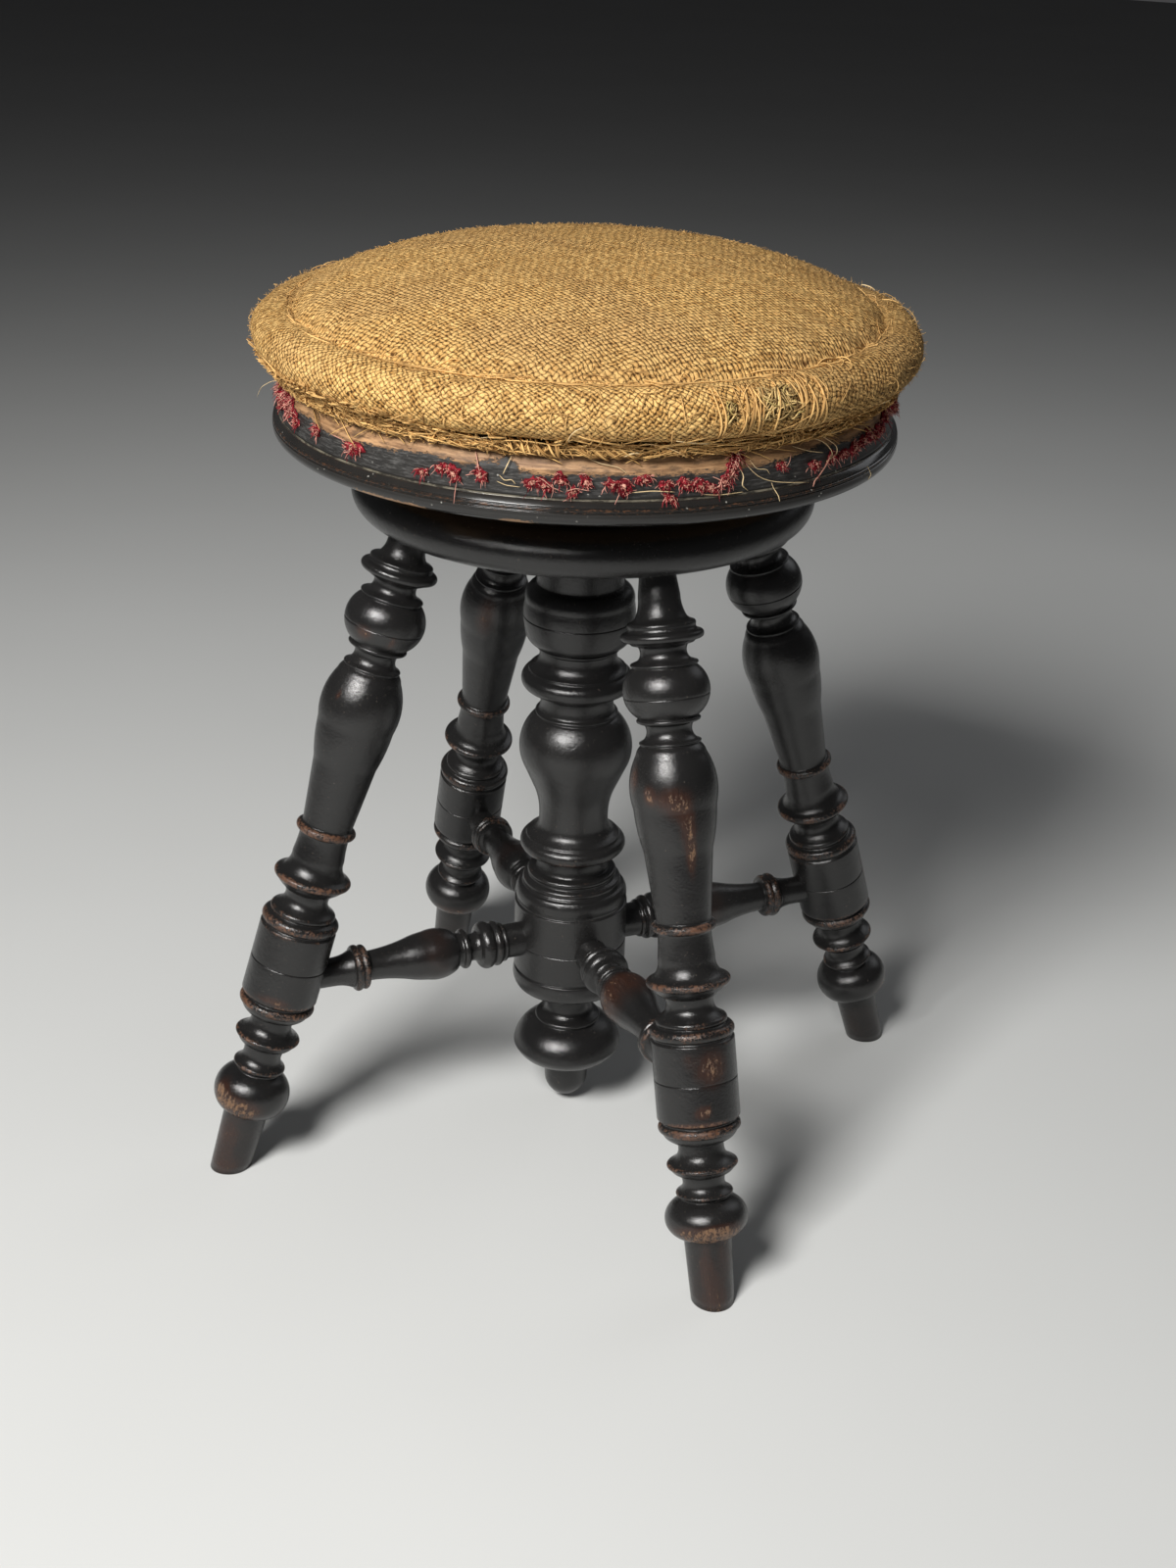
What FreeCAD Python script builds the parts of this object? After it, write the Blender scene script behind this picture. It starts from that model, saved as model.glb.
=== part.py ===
import FreeCAD, Part
import math
import os
import types

import Sketcher

# A turned piano stool. The seat winds up and down on an iron screw that runs in a nut
# in the head disc. Origin on the floor under the middle of the seat, +Z up, millimetres.
# The legs stand at 45, 135, 225 and 315 degrees. The seat is modelled wound right down.

SIZES = {
    # stance of the legs
    "foot_circle_radius": 211.0,
    "head_underside_height": 380.0,
    "leg_top_inset": 29.0,
    "stretcher_height": 116.5,
    # turned legs
    "leg_block_length": 41.0,
    "leg_block_radius": 21.6,
    "leg_peg_radius": 12.4,
    "leg_peg_height": 34.0,
    "leg_foot_ball_radius": 21.6,
    "leg_ring_radius": 21.4,
    "leg_cove_radius": 11.9,
    "leg_vase_radius": 23.9,
    "leg_ball_radius": 23.1,
    "leg_neck_radius": 9.2,
    "leg_tenon_height": 18.0,
    # head disc
    "head_radius": 127.0,
    "head_thickness": 25.2,
    # turned column
    "column_block_radius": 33.2,
    "column_block_length": 43.5,
    "column_foot_bead_height": 12.0,
    "column_ring_radius": 31.6,
    "column_vase_radius": 32.6,
    "column_bulb_radius": 32.6,
    "column_neck_radius": 22.0,
    "column_spigot_radius": 20.0,
    "column_spigot_height": 10.0,
    # drop finial, turned on the column's lower end
    "finial_floor_gap": 2.5,
    "finial_bulb_radius": 32.5,
    "finial_neck_radius": 12.8,
    "finial_tip_radius": 13.0,
    # turned stretchers
    "stretcher_vase_radius": 14.9,
    "stretcher_bead_radius": 14.2,
    "stretcher_cove_radius": 8.4,
    "stretcher_inner_neck_radius": 10.2,
    "stretcher_outer_neck_radius": 8.2,
    "stretcher_socket_depth": 14.0,
    # iron screw, nut and stop
    "screw_radius": 11.1,
    "screw_pitch": 6.0,
    "screw_end_radius": 8.0,
    "screw_head_radius": 9.0,
    "screw_tail_length": 5.0,
    "nut_flange_radius": 30.0,
    "nut_flange_thickness": 5.0,
    "nut_flange_proud": 3.0,
    "nut_barrel_radius": 16.0,
    "nut_screw_circle_radius": 23.5,
    "stop_washer_radius": 14.0,
    "stop_washer_thickness": 4.0,
    "stop_pin_radius": 2.0,
    # iron plate under the seat
    "plate_radius": 52.0,
    "plate_thickness": 5.0,
    "plate_hub_radius": 24.0,
    "plate_hub_height": 14.0,
    "plate_screw_circle_radius": 40.0,
    # wood screws
    "wood_screw_radius": 2.1,
    "wood_screw_head_radius": 4.2,
    "wood_screw_head_height": 2.4,
    "wood_screw_length": 16.0,
    # seat frame
    "hoop_radius": 166.0,
    "hoop_band_inset": 3.3,
    "hoop_wall": 41.0,
    "hoop_height": 34.2,
    "hoop_moulding_height": 12.8,
    "board_thickness": 20.0,
    # upholstery
    "tack_bevel_width": 6.5,
    "roll_overhang": 10.2,
    "roll_width": 31.2,
    "seam_inset": 20.8,
    "seam_height": 31.9,
    "crown_height": 63.4,
    # clearances
    "glue_gap": 0.1,
    "running_gap": 0.05,
    "bore_gap": 1.0,
    "washer_play": 0.3,
    "stop_gap": 0.5,
    "wound_down_gap": 1.0,
    "bore_end_gap": 4.0,
    "overrun": 12.0,
}

SCREW_TURNS = 18
LEG_COUNT = 4
NUT_SCREW_COUNT = 3
PLATE_SCREW_COUNT = 4
BEVELS_PER_ARC = 5
QUARTER_TURN = 90
FULL_TURN = 360
FIRST_LEG_ANGLE = 45

doc = FreeCAD.newDocument("piano_stool")
sheet = doc.addObject("Spreadsheet::Sheet", "Sizes")


class Size:
    """A size as its number in millimetres and as the same sum in the sheet's words."""

    def __init__(self, number, words):
        self.number = number
        self.words = words

    def __add__(self, other):
        return Size(self.number + other.number, f"({self.words} + {other.words})")

    def __sub__(self, other):
        return Size(self.number - other.number, f"({self.words} - {other.words})")

    def __mul__(self, share):
        if isinstance(share, Size):
            return Size(self.number * share.number, f"({self.words} * {share.words})")
        return Size(self.number * share, f"({self.words} * {share})")

    def __truediv__(self, other):
        return Size(self.number / other.number, f"({self.words} / {other.words})")

    def __neg__(self):
        return Size(-self.number, f"(-{self.words})")


def fill_sheet():
    """Each driving size in a row of its own: its name beside it, its alias the same word."""
    for row, (alias, number) in enumerate(SIZES.items(), start=1):
        sheet.set(f"A{row}", alias)
        sheet.set(f"B{row}", str(number))
        sheet.setAlias(f"B{row}", alias)
    doc.recompute()
    return {alias: Size(number, f"Sizes.{alias}") for alias, number in SIZES.items()}


def root_of(square):
    return Size(math.sqrt(square.number), f"sqrt({square.words})")


size = types.SimpleNamespace(**fill_sheet())
nothing = Size(0, "0")
one = Size(1, "1")

# Levels and radii that several pieces share

leg_top_radius = size.head_radius - size.leg_top_inset
leg_lean = (size.foot_circle_radius - leg_top_radius) / size.head_underside_height
leg_slant = root_of(one + leg_lean * leg_lean)
leg_lean_degrees = math.degrees(math.atan(leg_lean.number))
block_rise_share = 0.42
leg_block_middle = size.stretcher_height + size.leg_block_radius * block_rise_share
leg_axis_radius = size.foot_circle_radius - leg_lean * size.stretcher_height
leg_socket_end = leg_axis_radius - size.leg_block_radius + size.stretcher_socket_depth
column_socket_end = size.column_block_radius - size.stretcher_socket_depth

head_top = size.head_underside_height + size.head_thickness
spigot_top = size.head_underside_height + size.column_spigot_height
nut_top = head_top + size.nut_flange_proud
flange_seat = nut_top - size.nut_flange_thickness
hub_bottom = nut_top + size.wound_down_gap
seat_underside = hub_bottom + size.plate_hub_height
plate_bottom = seat_underside - size.plate_thickness
board_top = seat_underside + size.board_thickness
hoop_top = seat_underside + size.hoop_height

hoop_band_radius = size.hoop_radius - size.hoop_band_inset
hoop_inner_radius = size.hoop_radius - size.hoop_wall
roll_foot_radius = size.hoop_radius - size.tack_bevel_width
roll_radius = size.hoop_radius + size.roll_overhang
roll_inner_radius = roll_radius - size.roll_width
seam_radius = roll_radius - size.seam_inset

travel = size.screw_pitch * SCREW_TURNS
screw_shoulder = spigot_top - travel - size.stop_gap
washer_top = screw_shoulder - size.washer_play
washer_bottom = washer_top - size.stop_washer_thickness
pin_middle = washer_bottom - size.washer_play - size.stop_pin_radius
screw_end = pin_middle - size.stop_pin_radius - size.screw_tail_length
bore_radius = size.stop_washer_radius + size.bore_gap
bore_end = screw_end - size.bore_end_gap


def origin_part(body, role):
    return next(part for part in body.Origin.OriginFeatures if part.Role == role)


def new_body(label):
    body = doc.addObject("PartDesign::Body", label)
    body.Label = label
    return body


def bind_point(sketch, edge, end, across, up):
    """Hold one end of an edge at a place given in sizes."""
    if across.number == 0:
        sketch.addConstraint(Sketcher.Constraint("PointOnObject", edge, end, -2))
    else:
        index = sketch.addConstraint(Sketcher.Constraint("DistanceX", -1, 1, edge, end, across.number))
        sketch.setExpression(f"Constraints[{index}]", across.words)
    if up.number == 0:
        sketch.addConstraint(Sketcher.Constraint("PointOnObject", edge, end, -1))
    else:
        index = sketch.addConstraint(Sketcher.Constraint("DistanceY", -1, 1, edge, end, up.number))
        sketch.setExpression(f"Constraints[{index}]", up.words)


def round_edge(sketch, start, end, bow):
    """An arc from start to end that stands off their chord by the share bow of its length.

    Its centre lies on the chord's bisector, the returned share of the chord to its left.
    An arc that meets the axis crosses it squarely, so there only the sign of bow counts.
    """
    chord = math.dist(start, end)
    centre_share = math.copysign(1 / (8 * abs(bow)) - abs(bow) / 2, bow)
    if start[0] * end[0] == 0:
        centre_share = (start[0] + end[0]) / (2 * (end[1] - start[1]))
    centre = (
        (start[0] + end[0]) / 2 - (end[1] - start[1]) * centre_share,
        (start[1] + end[1]) / 2 + (end[0] - start[0]) * centre_share,
    )
    angles = [math.atan2(point[1] - centre[1], point[0] - centre[0]) for point in (start, end)]
    radius = math.dist(centre, start)
    circle = Part.Circle(FreeCAD.Vector(*centre, 0), FreeCAD.Vector(0, 0, 1), radius)
    if bow < 0:
        angles.reverse()
    edge = sketch.addGeometry(Part.ArcOfCircle(circle, *angles), False)
    return edge, (1, 2) if bow > 0 else (2, 1), centre_share


def bind_centre(sketch, edge, start, end, centre_share):
    """Hold an arc's centre on its chord's bisector, or on the axis where the arc meets it."""
    across = end[0] - start[0]
    up = end[1] - start[1]
    if start[0].number * end[0].number == 0:
        sketch.addConstraint(Sketcher.Constraint("PointOnObject", edge, 3, -2))
        return
    if abs(up.number) > abs(across.number):
        kind, value = "DistanceX", (start[0] + end[0]) * 0.5 - up * centre_share
    else:
        kind, value = "DistanceY", (start[1] + end[1]) * 0.5 + across * centre_share
    index = sketch.addConstraint(Sketcher.Constraint(kind, -1, 1, edge, 3, value.number))
    sketch.setExpression(f"Constraints[{index}]", value.words)


def outline_sketch(body, name, rows, lean=None, foot=None, lie_at=None):
    """Half outline of a turned piece, closed along its axis, on the body's XZ plane.

    A row is (place along the axis, radius, bow of the stretch to the next row): 0 is a
    straight stretch, more than 0 swells and less than 0 is a hollow.
    """
    sketch = body.newObject("Sketcher::SketchObject", name)
    sketch.AttachmentSupport = [(origin_part(body, "XZ_Plane"), "")]
    sketch.MapMode = "FlatFace"
    normal = FreeCAD.Vector(0, 0, 1)
    if foot is not None:
        turn = FreeCAD.Rotation(normal, leg_lean_degrees)
        sketch.AttachmentOffset = FreeCAD.Placement(FreeCAD.Vector(foot.number, 0, 0), turn)
        sketch.setExpression("AttachmentOffset.Base.x", foot.words)
        sketch.setExpression("AttachmentOffset.Rotation.Angle", f"atan({lean.words})")
    if lie_at is not None:
        turn = FreeCAD.Rotation(normal, -QUARTER_TURN)
        sketch.AttachmentOffset = FreeCAD.Placement(FreeCAD.Vector(0, lie_at.number, 0), turn)
        sketch.setExpression("AttachmentOffset.Base.y", lie_at.words)

    points = [(radius, place) for place, radius, bow in rows]
    bows = [bow for place, radius, bow in rows[:-1]]
    if points[-1][0].number:
        points.append((nothing, rows[-1][0]))
        bows.append(0)
    if points[0][0].number:
        points.append((nothing, rows[0][0]))
        bows.append(0)
        bows.append(0)
    else:
        bows.append(0)
    numbers = [(radius.number, place.number) for radius, place in points]
    edges = []
    for index, bow in enumerate(bows):
        start = numbers[index]
        end = numbers[(index + 1) % len(numbers)]
        if bow:
            edge, ends, centre_share = round_edge(sketch, start, end, bow)
        else:
            line = Part.LineSegment(FreeCAD.Vector(*start, 0), FreeCAD.Vector(*end, 0))
            edge, ends, centre_share = sketch.addGeometry(line, False), (1, 2), None
        edges.append((edge, ends, centre_share))
    for index, (edge, ends, centre_share) in enumerate(edges):
        next_edge, next_ends, next_share = edges[(index + 1) % len(edges)]
        joint = Sketcher.Constraint("Coincident", edge, ends[1], next_edge, next_ends[0])
        sketch.addConstraint(joint)
        bind_point(sketch, edge, ends[0], *points[index])
        if centre_share is not None:
            bind_centre(sketch, edge, points[index], points[(index + 1) % len(points)], centre_share)
    return sketch


def bevelled(rows):
    """The same outline with each arc cut as a few flat bevels whose corners lie on the arc.

    A corner stands at a share of the chord along it and at another share of it square to it.
    """
    cut = []
    for (place, radius, bow), (next_place, next_radius, next_bow) in zip(rows, rows[1:]):
        cut.append((place, radius, 0))
        if bow:
            half_angle = 2 * math.atan(2 * bow)
            radius_share = 0.5 / math.sin(half_angle)
            for step in range(1, BEVELS_PER_ARC):
                angle = half_angle * (2 * step / BEVELS_PER_ARC - 1)
                along_share = 0.5 + radius_share * math.sin(angle)
                square_share = radius_share * (math.cos(angle) - math.cos(half_angle))
                run = next_place - place
                rise = next_radius - radius
                corner_place = place + run * along_share - rise * square_share
                corner_radius = radius + rise * along_share + run * square_share
                cut.append((corner_place, corner_radius, 0))
    return cut + [rows[-1]]


def turn(body, name, rows, cut=False, **placing):
    """Revolve a half outline about its axis, to add wood or to cut it away."""
    sketch = outline_sketch(body, name + "_outline", rows, **placing)
    kind = "PartDesign::Groove" if cut else "PartDesign::Revolution"
    feature = body.newObject(kind, name)
    feature.Profile = sketch
    feature.ReferenceAxis = (sketch, ["V_Axis"])
    feature.Angle = FULL_TURN
    doc.recompute()
    return feature


def bore_across(body, name, radius, far_end, length, height, outwards):
    """A round hole along the body's X axis at the given height, out from or in to far_end."""
    sketch = body.newObject("Sketcher::SketchObject", name + "_circle")
    sketch.AttachmentSupport = [(origin_part(body, "YZ_Plane"), "")]
    sketch.MapMode = "FlatFace"
    sketch.AttachmentOffset = FreeCAD.Placement(FreeCAD.Vector(0, 0, far_end.number), FreeCAD.Rotation())
    sketch.setExpression("AttachmentOffset.Base.z", far_end.words)
    round_in(sketch, nothing, height, radius)
    return pocket(body, name, sketch, length, outwards)


def round_in(sketch, across, up, radius):
    centre = FreeCAD.Vector(across.number, up.number, 0)
    circle = Part.Circle(centre, FreeCAD.Vector(0, 0, 1), radius.number)
    edge = sketch.addGeometry(circle, False)
    bind_point(sketch, edge, 3, across, up)
    index = sketch.addConstraint(Sketcher.Constraint("Radius", edge, radius.number))
    sketch.setExpression(f"Constraints[{index}]", radius.words)


def pocket(body, name, sketch, length, reversed_cut=False):
    before = body.Tip.Shape.Volume
    feature = body.newObject("PartDesign::Pocket", name)
    feature.Profile = sketch
    feature.Length = length.number
    feature.setExpression("Length", length.words)
    feature.Reversed = reversed_cut
    doc.recompute()
    if feature.Shape.Volume >= before:
        raise RuntimeError(f"{name} cuts nothing")
    return feature


def repeat_round(body, name, feature, count):
    """Copies of a feature at equal angles round the body's Z axis."""
    pattern = body.newObject("PartDesign::PolarPattern", name)
    pattern.Originals = [feature]
    pattern.Axis = (origin_part(body, "Z_Axis"), [""])
    pattern.Angle = FULL_TURN
    pattern.Occurrences = count
    body.Tip = pattern
    doc.recompute()
    return pattern


def turn_about_z(degrees):
    return FreeCAD.Placement(FreeCAD.Vector(), FreeCAD.Rotation(FreeCAD.Vector(0, 0, 1), degrees))


def repeat_piece(label, source, degrees):
    """A further piece cut to the same outline as its source, turned about the stool's axis."""
    body = new_body(label)
    base = doc.addObject("PartDesign::FeatureBase", label + "_base")
    base.BaseFeature = source
    body.Group = [base]
    body.Tip = base
    body.Placement = turn_about_z(degrees)
    return body


def leg_outline():
    """Peg foot and ball below the plain block, then ring, cove, vase and ball up to the head."""
    block_bottom = leg_block_middle - size.leg_block_length * 0.5
    block_top = leg_block_middle + size.leg_block_length * 0.5
    foot_span = block_bottom - size.leg_peg_height
    upper_span = size.head_underside_height - block_top
    peg = size.leg_peg_radius
    foot_ball = size.leg_foot_ball_radius
    ring = size.leg_ring_radius
    cove = size.leg_cove_radius
    vase = size.leg_vase_radius
    ball = size.leg_ball_radius

    def foot(share):
        return (size.leg_peg_height + foot_span * share) * leg_slant

    def upper(share):
        return (block_top + upper_span * share) * leg_slant

    return [
        (-size.overrun, peg * 0.93, 0),
        (foot(0), peg, 0),
        (foot(0.01), foot_ball * 0.62, 0.33),
        (foot(0.35), foot_ball * 0.6, 0),
        (foot(0.38), cove * 0.95, 0),
        (foot(0.52), cove * 0.95, 0),
        (foot(0.59), ring * 0.9, 0),
        (foot(0.67), cove, 0),
        (foot(0.79), cove * 1.05, 0),
        (foot(0.89), ring, 0),
        (foot(0.95), ring * 0.96, 0),
        (foot(1), size.leg_block_radius, 0),
        (upper(0), size.leg_block_radius, 0),
        (upper(0.024), ring * 0.97, 0),
        (upper(0.05), cove * 1.1, 0),
        (upper(0.095), cove * 1.05, 0),
        (upper(0.125), ring * 1.03, 0),
        (upper(0.17), cove * 1.2, 0),
        (upper(0.238), cove * 1.13, 0),
        (upper(0.256), ring * 0.88, 0),
        (upper(0.275), cove * 1.2, 0),
        (upper(0.45), vase * 0.79, 0.13),
        (upper(0.641), vase * 0.75, 0),
        (upper(0.667), cove, 0),
        (upper(0.692), cove, 0),
        (upper(0.702), ball * 0.7, 0.22),
        (upper(0.814), ball * 0.72, 0),
        (upper(0.825), cove, 0),
        (upper(0.862), cove * 1.05, 0),
        (upper(0.885), ball, 0),
        (upper(0.905), cove * 1.2, 0),
        (upper(0.96), size.leg_neck_radius, 0),
        ((size.head_underside_height + size.leg_tenon_height) * leg_slant, size.leg_neck_radius, 0),
    ]


def make_leg(label):
    """A leg leaning in to the head, its sole cut level and its side bored for the stretcher."""
    leg = new_body(label)
    turn(leg, "turning", bevelled(leg_outline()), lean=leg_lean, foot=size.foot_circle_radius)

    sole = leg.newObject("Sketcher::SketchObject", "sole_circle")
    sole.AttachmentSupport = [(origin_part(leg, "XY_Plane"), "")]
    sole.MapMode = "FlatFace"
    round_in(sole, size.foot_circle_radius, nothing, size.leg_peg_radius + size.overrun)
    pocket(leg, "sole_cut", sole, size.overrun + size.overrun)

    bore_across(
        leg,
        "stretcher_socket",
        size.stretcher_outer_neck_radius + size.glue_gap,
        leg_socket_end + size.glue_gap,
        size.stretcher_socket_depth + size.overrun,
        size.stretcher_height,
        outwards=False,
    )
    return leg


def make_stretcher(label):
    """A level stretcher from the column to a leg, glued in a socket at each end."""
    stretcher = new_body(label)
    column_face = size.column_block_radius
    span = leg_axis_radius - size.leg_block_radius - column_face
    vase = size.stretcher_vase_radius
    bead = size.stretcher_bead_radius
    cove = size.stretcher_cove_radius
    inner_neck = size.stretcher_inner_neck_radius
    outer_neck = size.stretcher_outer_neck_radius

    def along(share):
        return column_face + span * share

    rows = [
        (column_socket_end, inner_neck, 0),
        (along(0.08), inner_neck, 0),
        (along(0.11), bead, 0),
        (along(0.2), bead, 0),
        (along(0.22), cove, 0),
        (along(0.27), cove, 0),
        (along(0.29), bead * 0.86, 0),
        (along(0.32), vase * 0.68, 0.18),
        (along(0.56), vase * 0.8, 0),
        (along(0.735), cove, 0),
        (along(0.78), bead * 0.97, 0),
        (along(0.83), bead * 0.97, 0),
        (along(0.87), bead * 0.66, 0),
        (along(0.96), outer_neck, 0),
        (leg_socket_end, outer_neck, 0),
    ]
    turn(stretcher, "turning", bevelled(rows), lie_at=size.stretcher_height)
    return stretcher


def make_column():
    """The centre turning with its drop finial, bored from the top for the screw."""
    column = new_body("centre_column")
    ring = size.column_ring_radius
    vase = size.column_vase_radius
    bulb = size.column_bulb_radius
    neck = size.column_neck_radius
    block = size.column_block_radius
    tip = size.finial_tip_radius
    drop = size.finial_bulb_radius
    block_bottom = size.stretcher_height - size.column_block_length * 0.48
    block_top = size.stretcher_height + size.column_block_length * 0.52
    upper_span = size.head_underside_height - block_top
    drop_span = block_bottom - size.column_foot_bead_height - size.finial_floor_gap

    def lower(share):
        return size.finial_floor_gap + drop_span * share

    def upper(share):
        return block_top + upper_span * share

    rows = [
        (lower(0), nothing, 0.2),
        (lower(0.18), tip, 0),
        (lower(0.35), tip, 0),
        (lower(0.36), drop * 0.55, 0.17),
        (lower(0.48), drop, 0.17),
        (lower(0.67), drop * 0.58, 0),
        (lower(0.7), drop * 0.61, 0),
        (lower(0.72), drop * 0.55, 0),
        (lower(0.78), size.finial_neck_radius, 0),
        (lower(0.86), size.finial_neck_radius, 0),
        (lower(1), block * 0.86, 0),
        (lower(1) + size.column_block_length * 0.04, block * 1.02, 0),
        (block_bottom - size.column_block_length * 0.08, block * 1.02, 0),
        (block_bottom - size.column_block_length * 0.04, block * 0.95, 0),
        (block_bottom, block, 0),
        (upper(0), block, 0),
        (upper(0.006), block * 0.95, 0),
        (upper(0.018), block * 0.98, 0),
        (upper(0.044), block * 0.96, 0),
        (upper(0.049), block * 0.87, 0),
        (upper(0.068), block * 0.8, 0),
        (upper(0.071), block * 0.77, 0),
        (upper(0.086), block * 0.74, 0),
        (upper(0.091), neck * 0.9, 0),
        (upper(0.132), neck * 0.92, 0),
        (upper(0.15), ring, 0),
        (upper(0.171), ring, 0),
        (upper(0.191), neck * 0.95, 0),
        (upper(0.214), neck * 0.88, -0.09),
        (upper(0.332), vase * 0.81, 0.17),
        (upper(0.496), vase * 0.74, 0),
        (upper(0.528), neck * 1.02, 0),
        (upper(0.548), neck * 1.05, 0),
        (upper(0.57), ring, 0),
        (upper(0.594), ring, 0),
        (upper(0.62), neck, 0),
        (upper(0.645), neck, 0),
        (upper(0.656), bulb * 0.74, 0.22),
        (upper(0.815), bulb * 0.76, 0),
        (upper(0.928), neck * 1.1, 0),
        (upper(0.944), bulb * 0.9, 0),
        (upper(1), bulb * 0.9, 0),
        (upper(1), size.column_spigot_radius, 0),
        (spigot_top, size.column_spigot_radius, 0),
    ]
    turn(column, "turning", rows)

    bore = [
        (bore_end, bore_radius, 0),
        (spigot_top + size.overrun, bore_radius, 0),
    ]
    turn(column, "screw_bore", bore, cut=True)

    socket = bore_across(
        column,
        "stretcher_socket",
        size.stretcher_inner_neck_radius + size.glue_gap,
        column_socket_end - size.glue_gap,
        size.stretcher_socket_depth + size.overrun,
        size.stretcher_height,
        outwards=True,
    )
    repeat_round(column, "stretcher_sockets", socket, LEG_COUNT)
    column.Placement = turn_about_z(FIRST_LEG_ANGLE)
    return column


def make_head():
    """The round-edged disc that the legs and the column are let into."""
    head = new_body("head_disc")
    flat_radius = size.head_radius - size.head_thickness * 0.5
    rows = [
        (size.head_underside_height, flat_radius, 0.5),
        (head_top, flat_radius, 0),
    ]
    turn(head, "disc", rows)

    nut_seat = [
        (flange_seat, size.nut_flange_radius + size.glue_gap, 0),
        (nut_top + size.overrun, size.nut_flange_radius + size.glue_gap, 0),
    ]
    turn(head, "nut_flange_seat", nut_seat, cut=True)

    barrel_hole = [
        (size.head_underside_height - size.overrun, size.nut_barrel_radius + size.glue_gap, 0),
        (nut_top, size.nut_barrel_radius + size.glue_gap, 0),
    ]
    turn(head, "nut_barrel_hole", barrel_hole, cut=True)

    column_socket = [
        (size.head_underside_height - size.overrun, size.column_spigot_radius + size.glue_gap, 0),
        (spigot_top, size.column_spigot_radius + size.glue_gap, 0),
    ]
    turn(head, "column_socket", column_socket, cut=True)

    socket_start = size.head_underside_height * leg_slant - size.overrun
    socket_end = (size.head_underside_height + size.leg_tenon_height) * leg_slant + size.glue_gap
    leg_socket = [
        (socket_start, size.leg_neck_radius + size.glue_gap, 0),
        (socket_end, size.leg_neck_radius + size.glue_gap, 0),
    ]
    socket = turn(
        head, "leg_socket", leg_socket, cut=True, lean=leg_lean, foot=size.foot_circle_radius
    )
    repeat_round(head, "leg_sockets", socket, LEG_COUNT)

    holes = screw_hole(head, "nut_screw_hole", size.nut_screw_circle_radius, flange_seat, down=True)
    repeat_round(head, "nut_screw_holes", holes, NUT_SCREW_COUNT)
    head.Placement = turn_about_z(FIRST_LEG_ANGLE)
    return head


def screw_hole(body, name, circle_radius, face, down):
    """One pilot hole for a wood screw, square to a level face, at the body's +X side."""
    sketch = body.newObject("Sketcher::SketchObject", name + "_circle")
    sketch.AttachmentSupport = [(origin_part(body, "XY_Plane"), "")]
    sketch.MapMode = "FlatFace"
    sketch.AttachmentOffset = FreeCAD.Placement(FreeCAD.Vector(0, 0, face.number), FreeCAD.Rotation())
    sketch.setExpression("AttachmentOffset.Base.z", face.words)
    round_in(sketch, circle_radius, nothing, size.wood_screw_radius + size.glue_gap)
    return pocket(body, name, sketch, size.wood_screw_length + size.glue_gap, reversed_cut=not down)


def countersink(body, name, circle_radius, face, down):
    """A flaring seat for one screw head, open at the face that the head lies flush with."""
    head = size.wood_screw_head_radius + size.glue_gap
    shank = size.wood_screw_radius + size.glue_gap
    depth = size.wood_screw_head_height
    inwards = -depth if down else depth
    outwards = size.glue_gap if down else -size.glue_gap
    sketch = body.newObject("Sketcher::SketchObject", name + "_outline")
    sketch.AttachmentSupport = [(origin_part(body, "XZ_Plane"), "")]
    sketch.MapMode = "FlatFace"
    sketch.AttachmentOffset = FreeCAD.Placement(
        FreeCAD.Vector(circle_radius.number, face.number, 0), FreeCAD.Rotation()
    )
    sketch.setExpression("AttachmentOffset.Base.x", circle_radius.words)
    sketch.setExpression("AttachmentOffset.Base.y", face.words)
    corners = [(nothing, inwards), (shank, inwards), (head, nothing), (head, outwards), (nothing, outwards)]
    for index, (across, up) in enumerate(corners):
        after = corners[(index + 1) % len(corners)]
        start = FreeCAD.Vector(across.number, up.number, 0)
        end = FreeCAD.Vector(after[0].number, after[1].number, 0)
        sketch.addGeometry(Part.LineSegment(start, end), False)
    for index, (across, up) in enumerate(corners):
        following = (index + 1) % len(corners)
        sketch.addConstraint(Sketcher.Constraint("Coincident", index, 2, following, 1))
        bind_point(sketch, index, 1, across, up)
    feature = body.newObject("PartDesign::Groove", name)
    feature.Profile = sketch
    feature.ReferenceAxis = (sketch, ["V_Axis"])
    feature.Angle = FULL_TURN
    doc.recompute()
    return feature


def make_nut():
    """A flanged iron nut let into the top of the head disc, bored to the screw's outside."""
    nut = new_body("screw_nut")
    rows = [
        (spigot_top, size.nut_barrel_radius, 0),
        (flange_seat, size.nut_barrel_radius, 0),
        (flange_seat, size.nut_flange_radius, 0),
        (nut_top, size.nut_flange_radius, 0),
    ]
    turn(nut, "casting", rows)
    bore = [
        (spigot_top - size.overrun, size.screw_radius + size.running_gap, 0),
        (nut_top + size.overrun, size.screw_radius + size.running_gap, 0),
    ]
    turn(nut, "screw_bore", bore, cut=True)
    hole = screw_hole(nut, "screw_hole", size.nut_screw_circle_radius, nut_top, down=True)
    repeat_round(nut, "screw_holes", hole, NUT_SCREW_COUNT)
    seat = countersink(nut, "countersink", size.nut_screw_circle_radius, nut_top, down=True)
    repeat_round(nut, "countersinks", seat, NUT_SCREW_COUNT)
    nut.Placement = turn_about_z(FIRST_LEG_ANGLE)
    return nut


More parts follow.
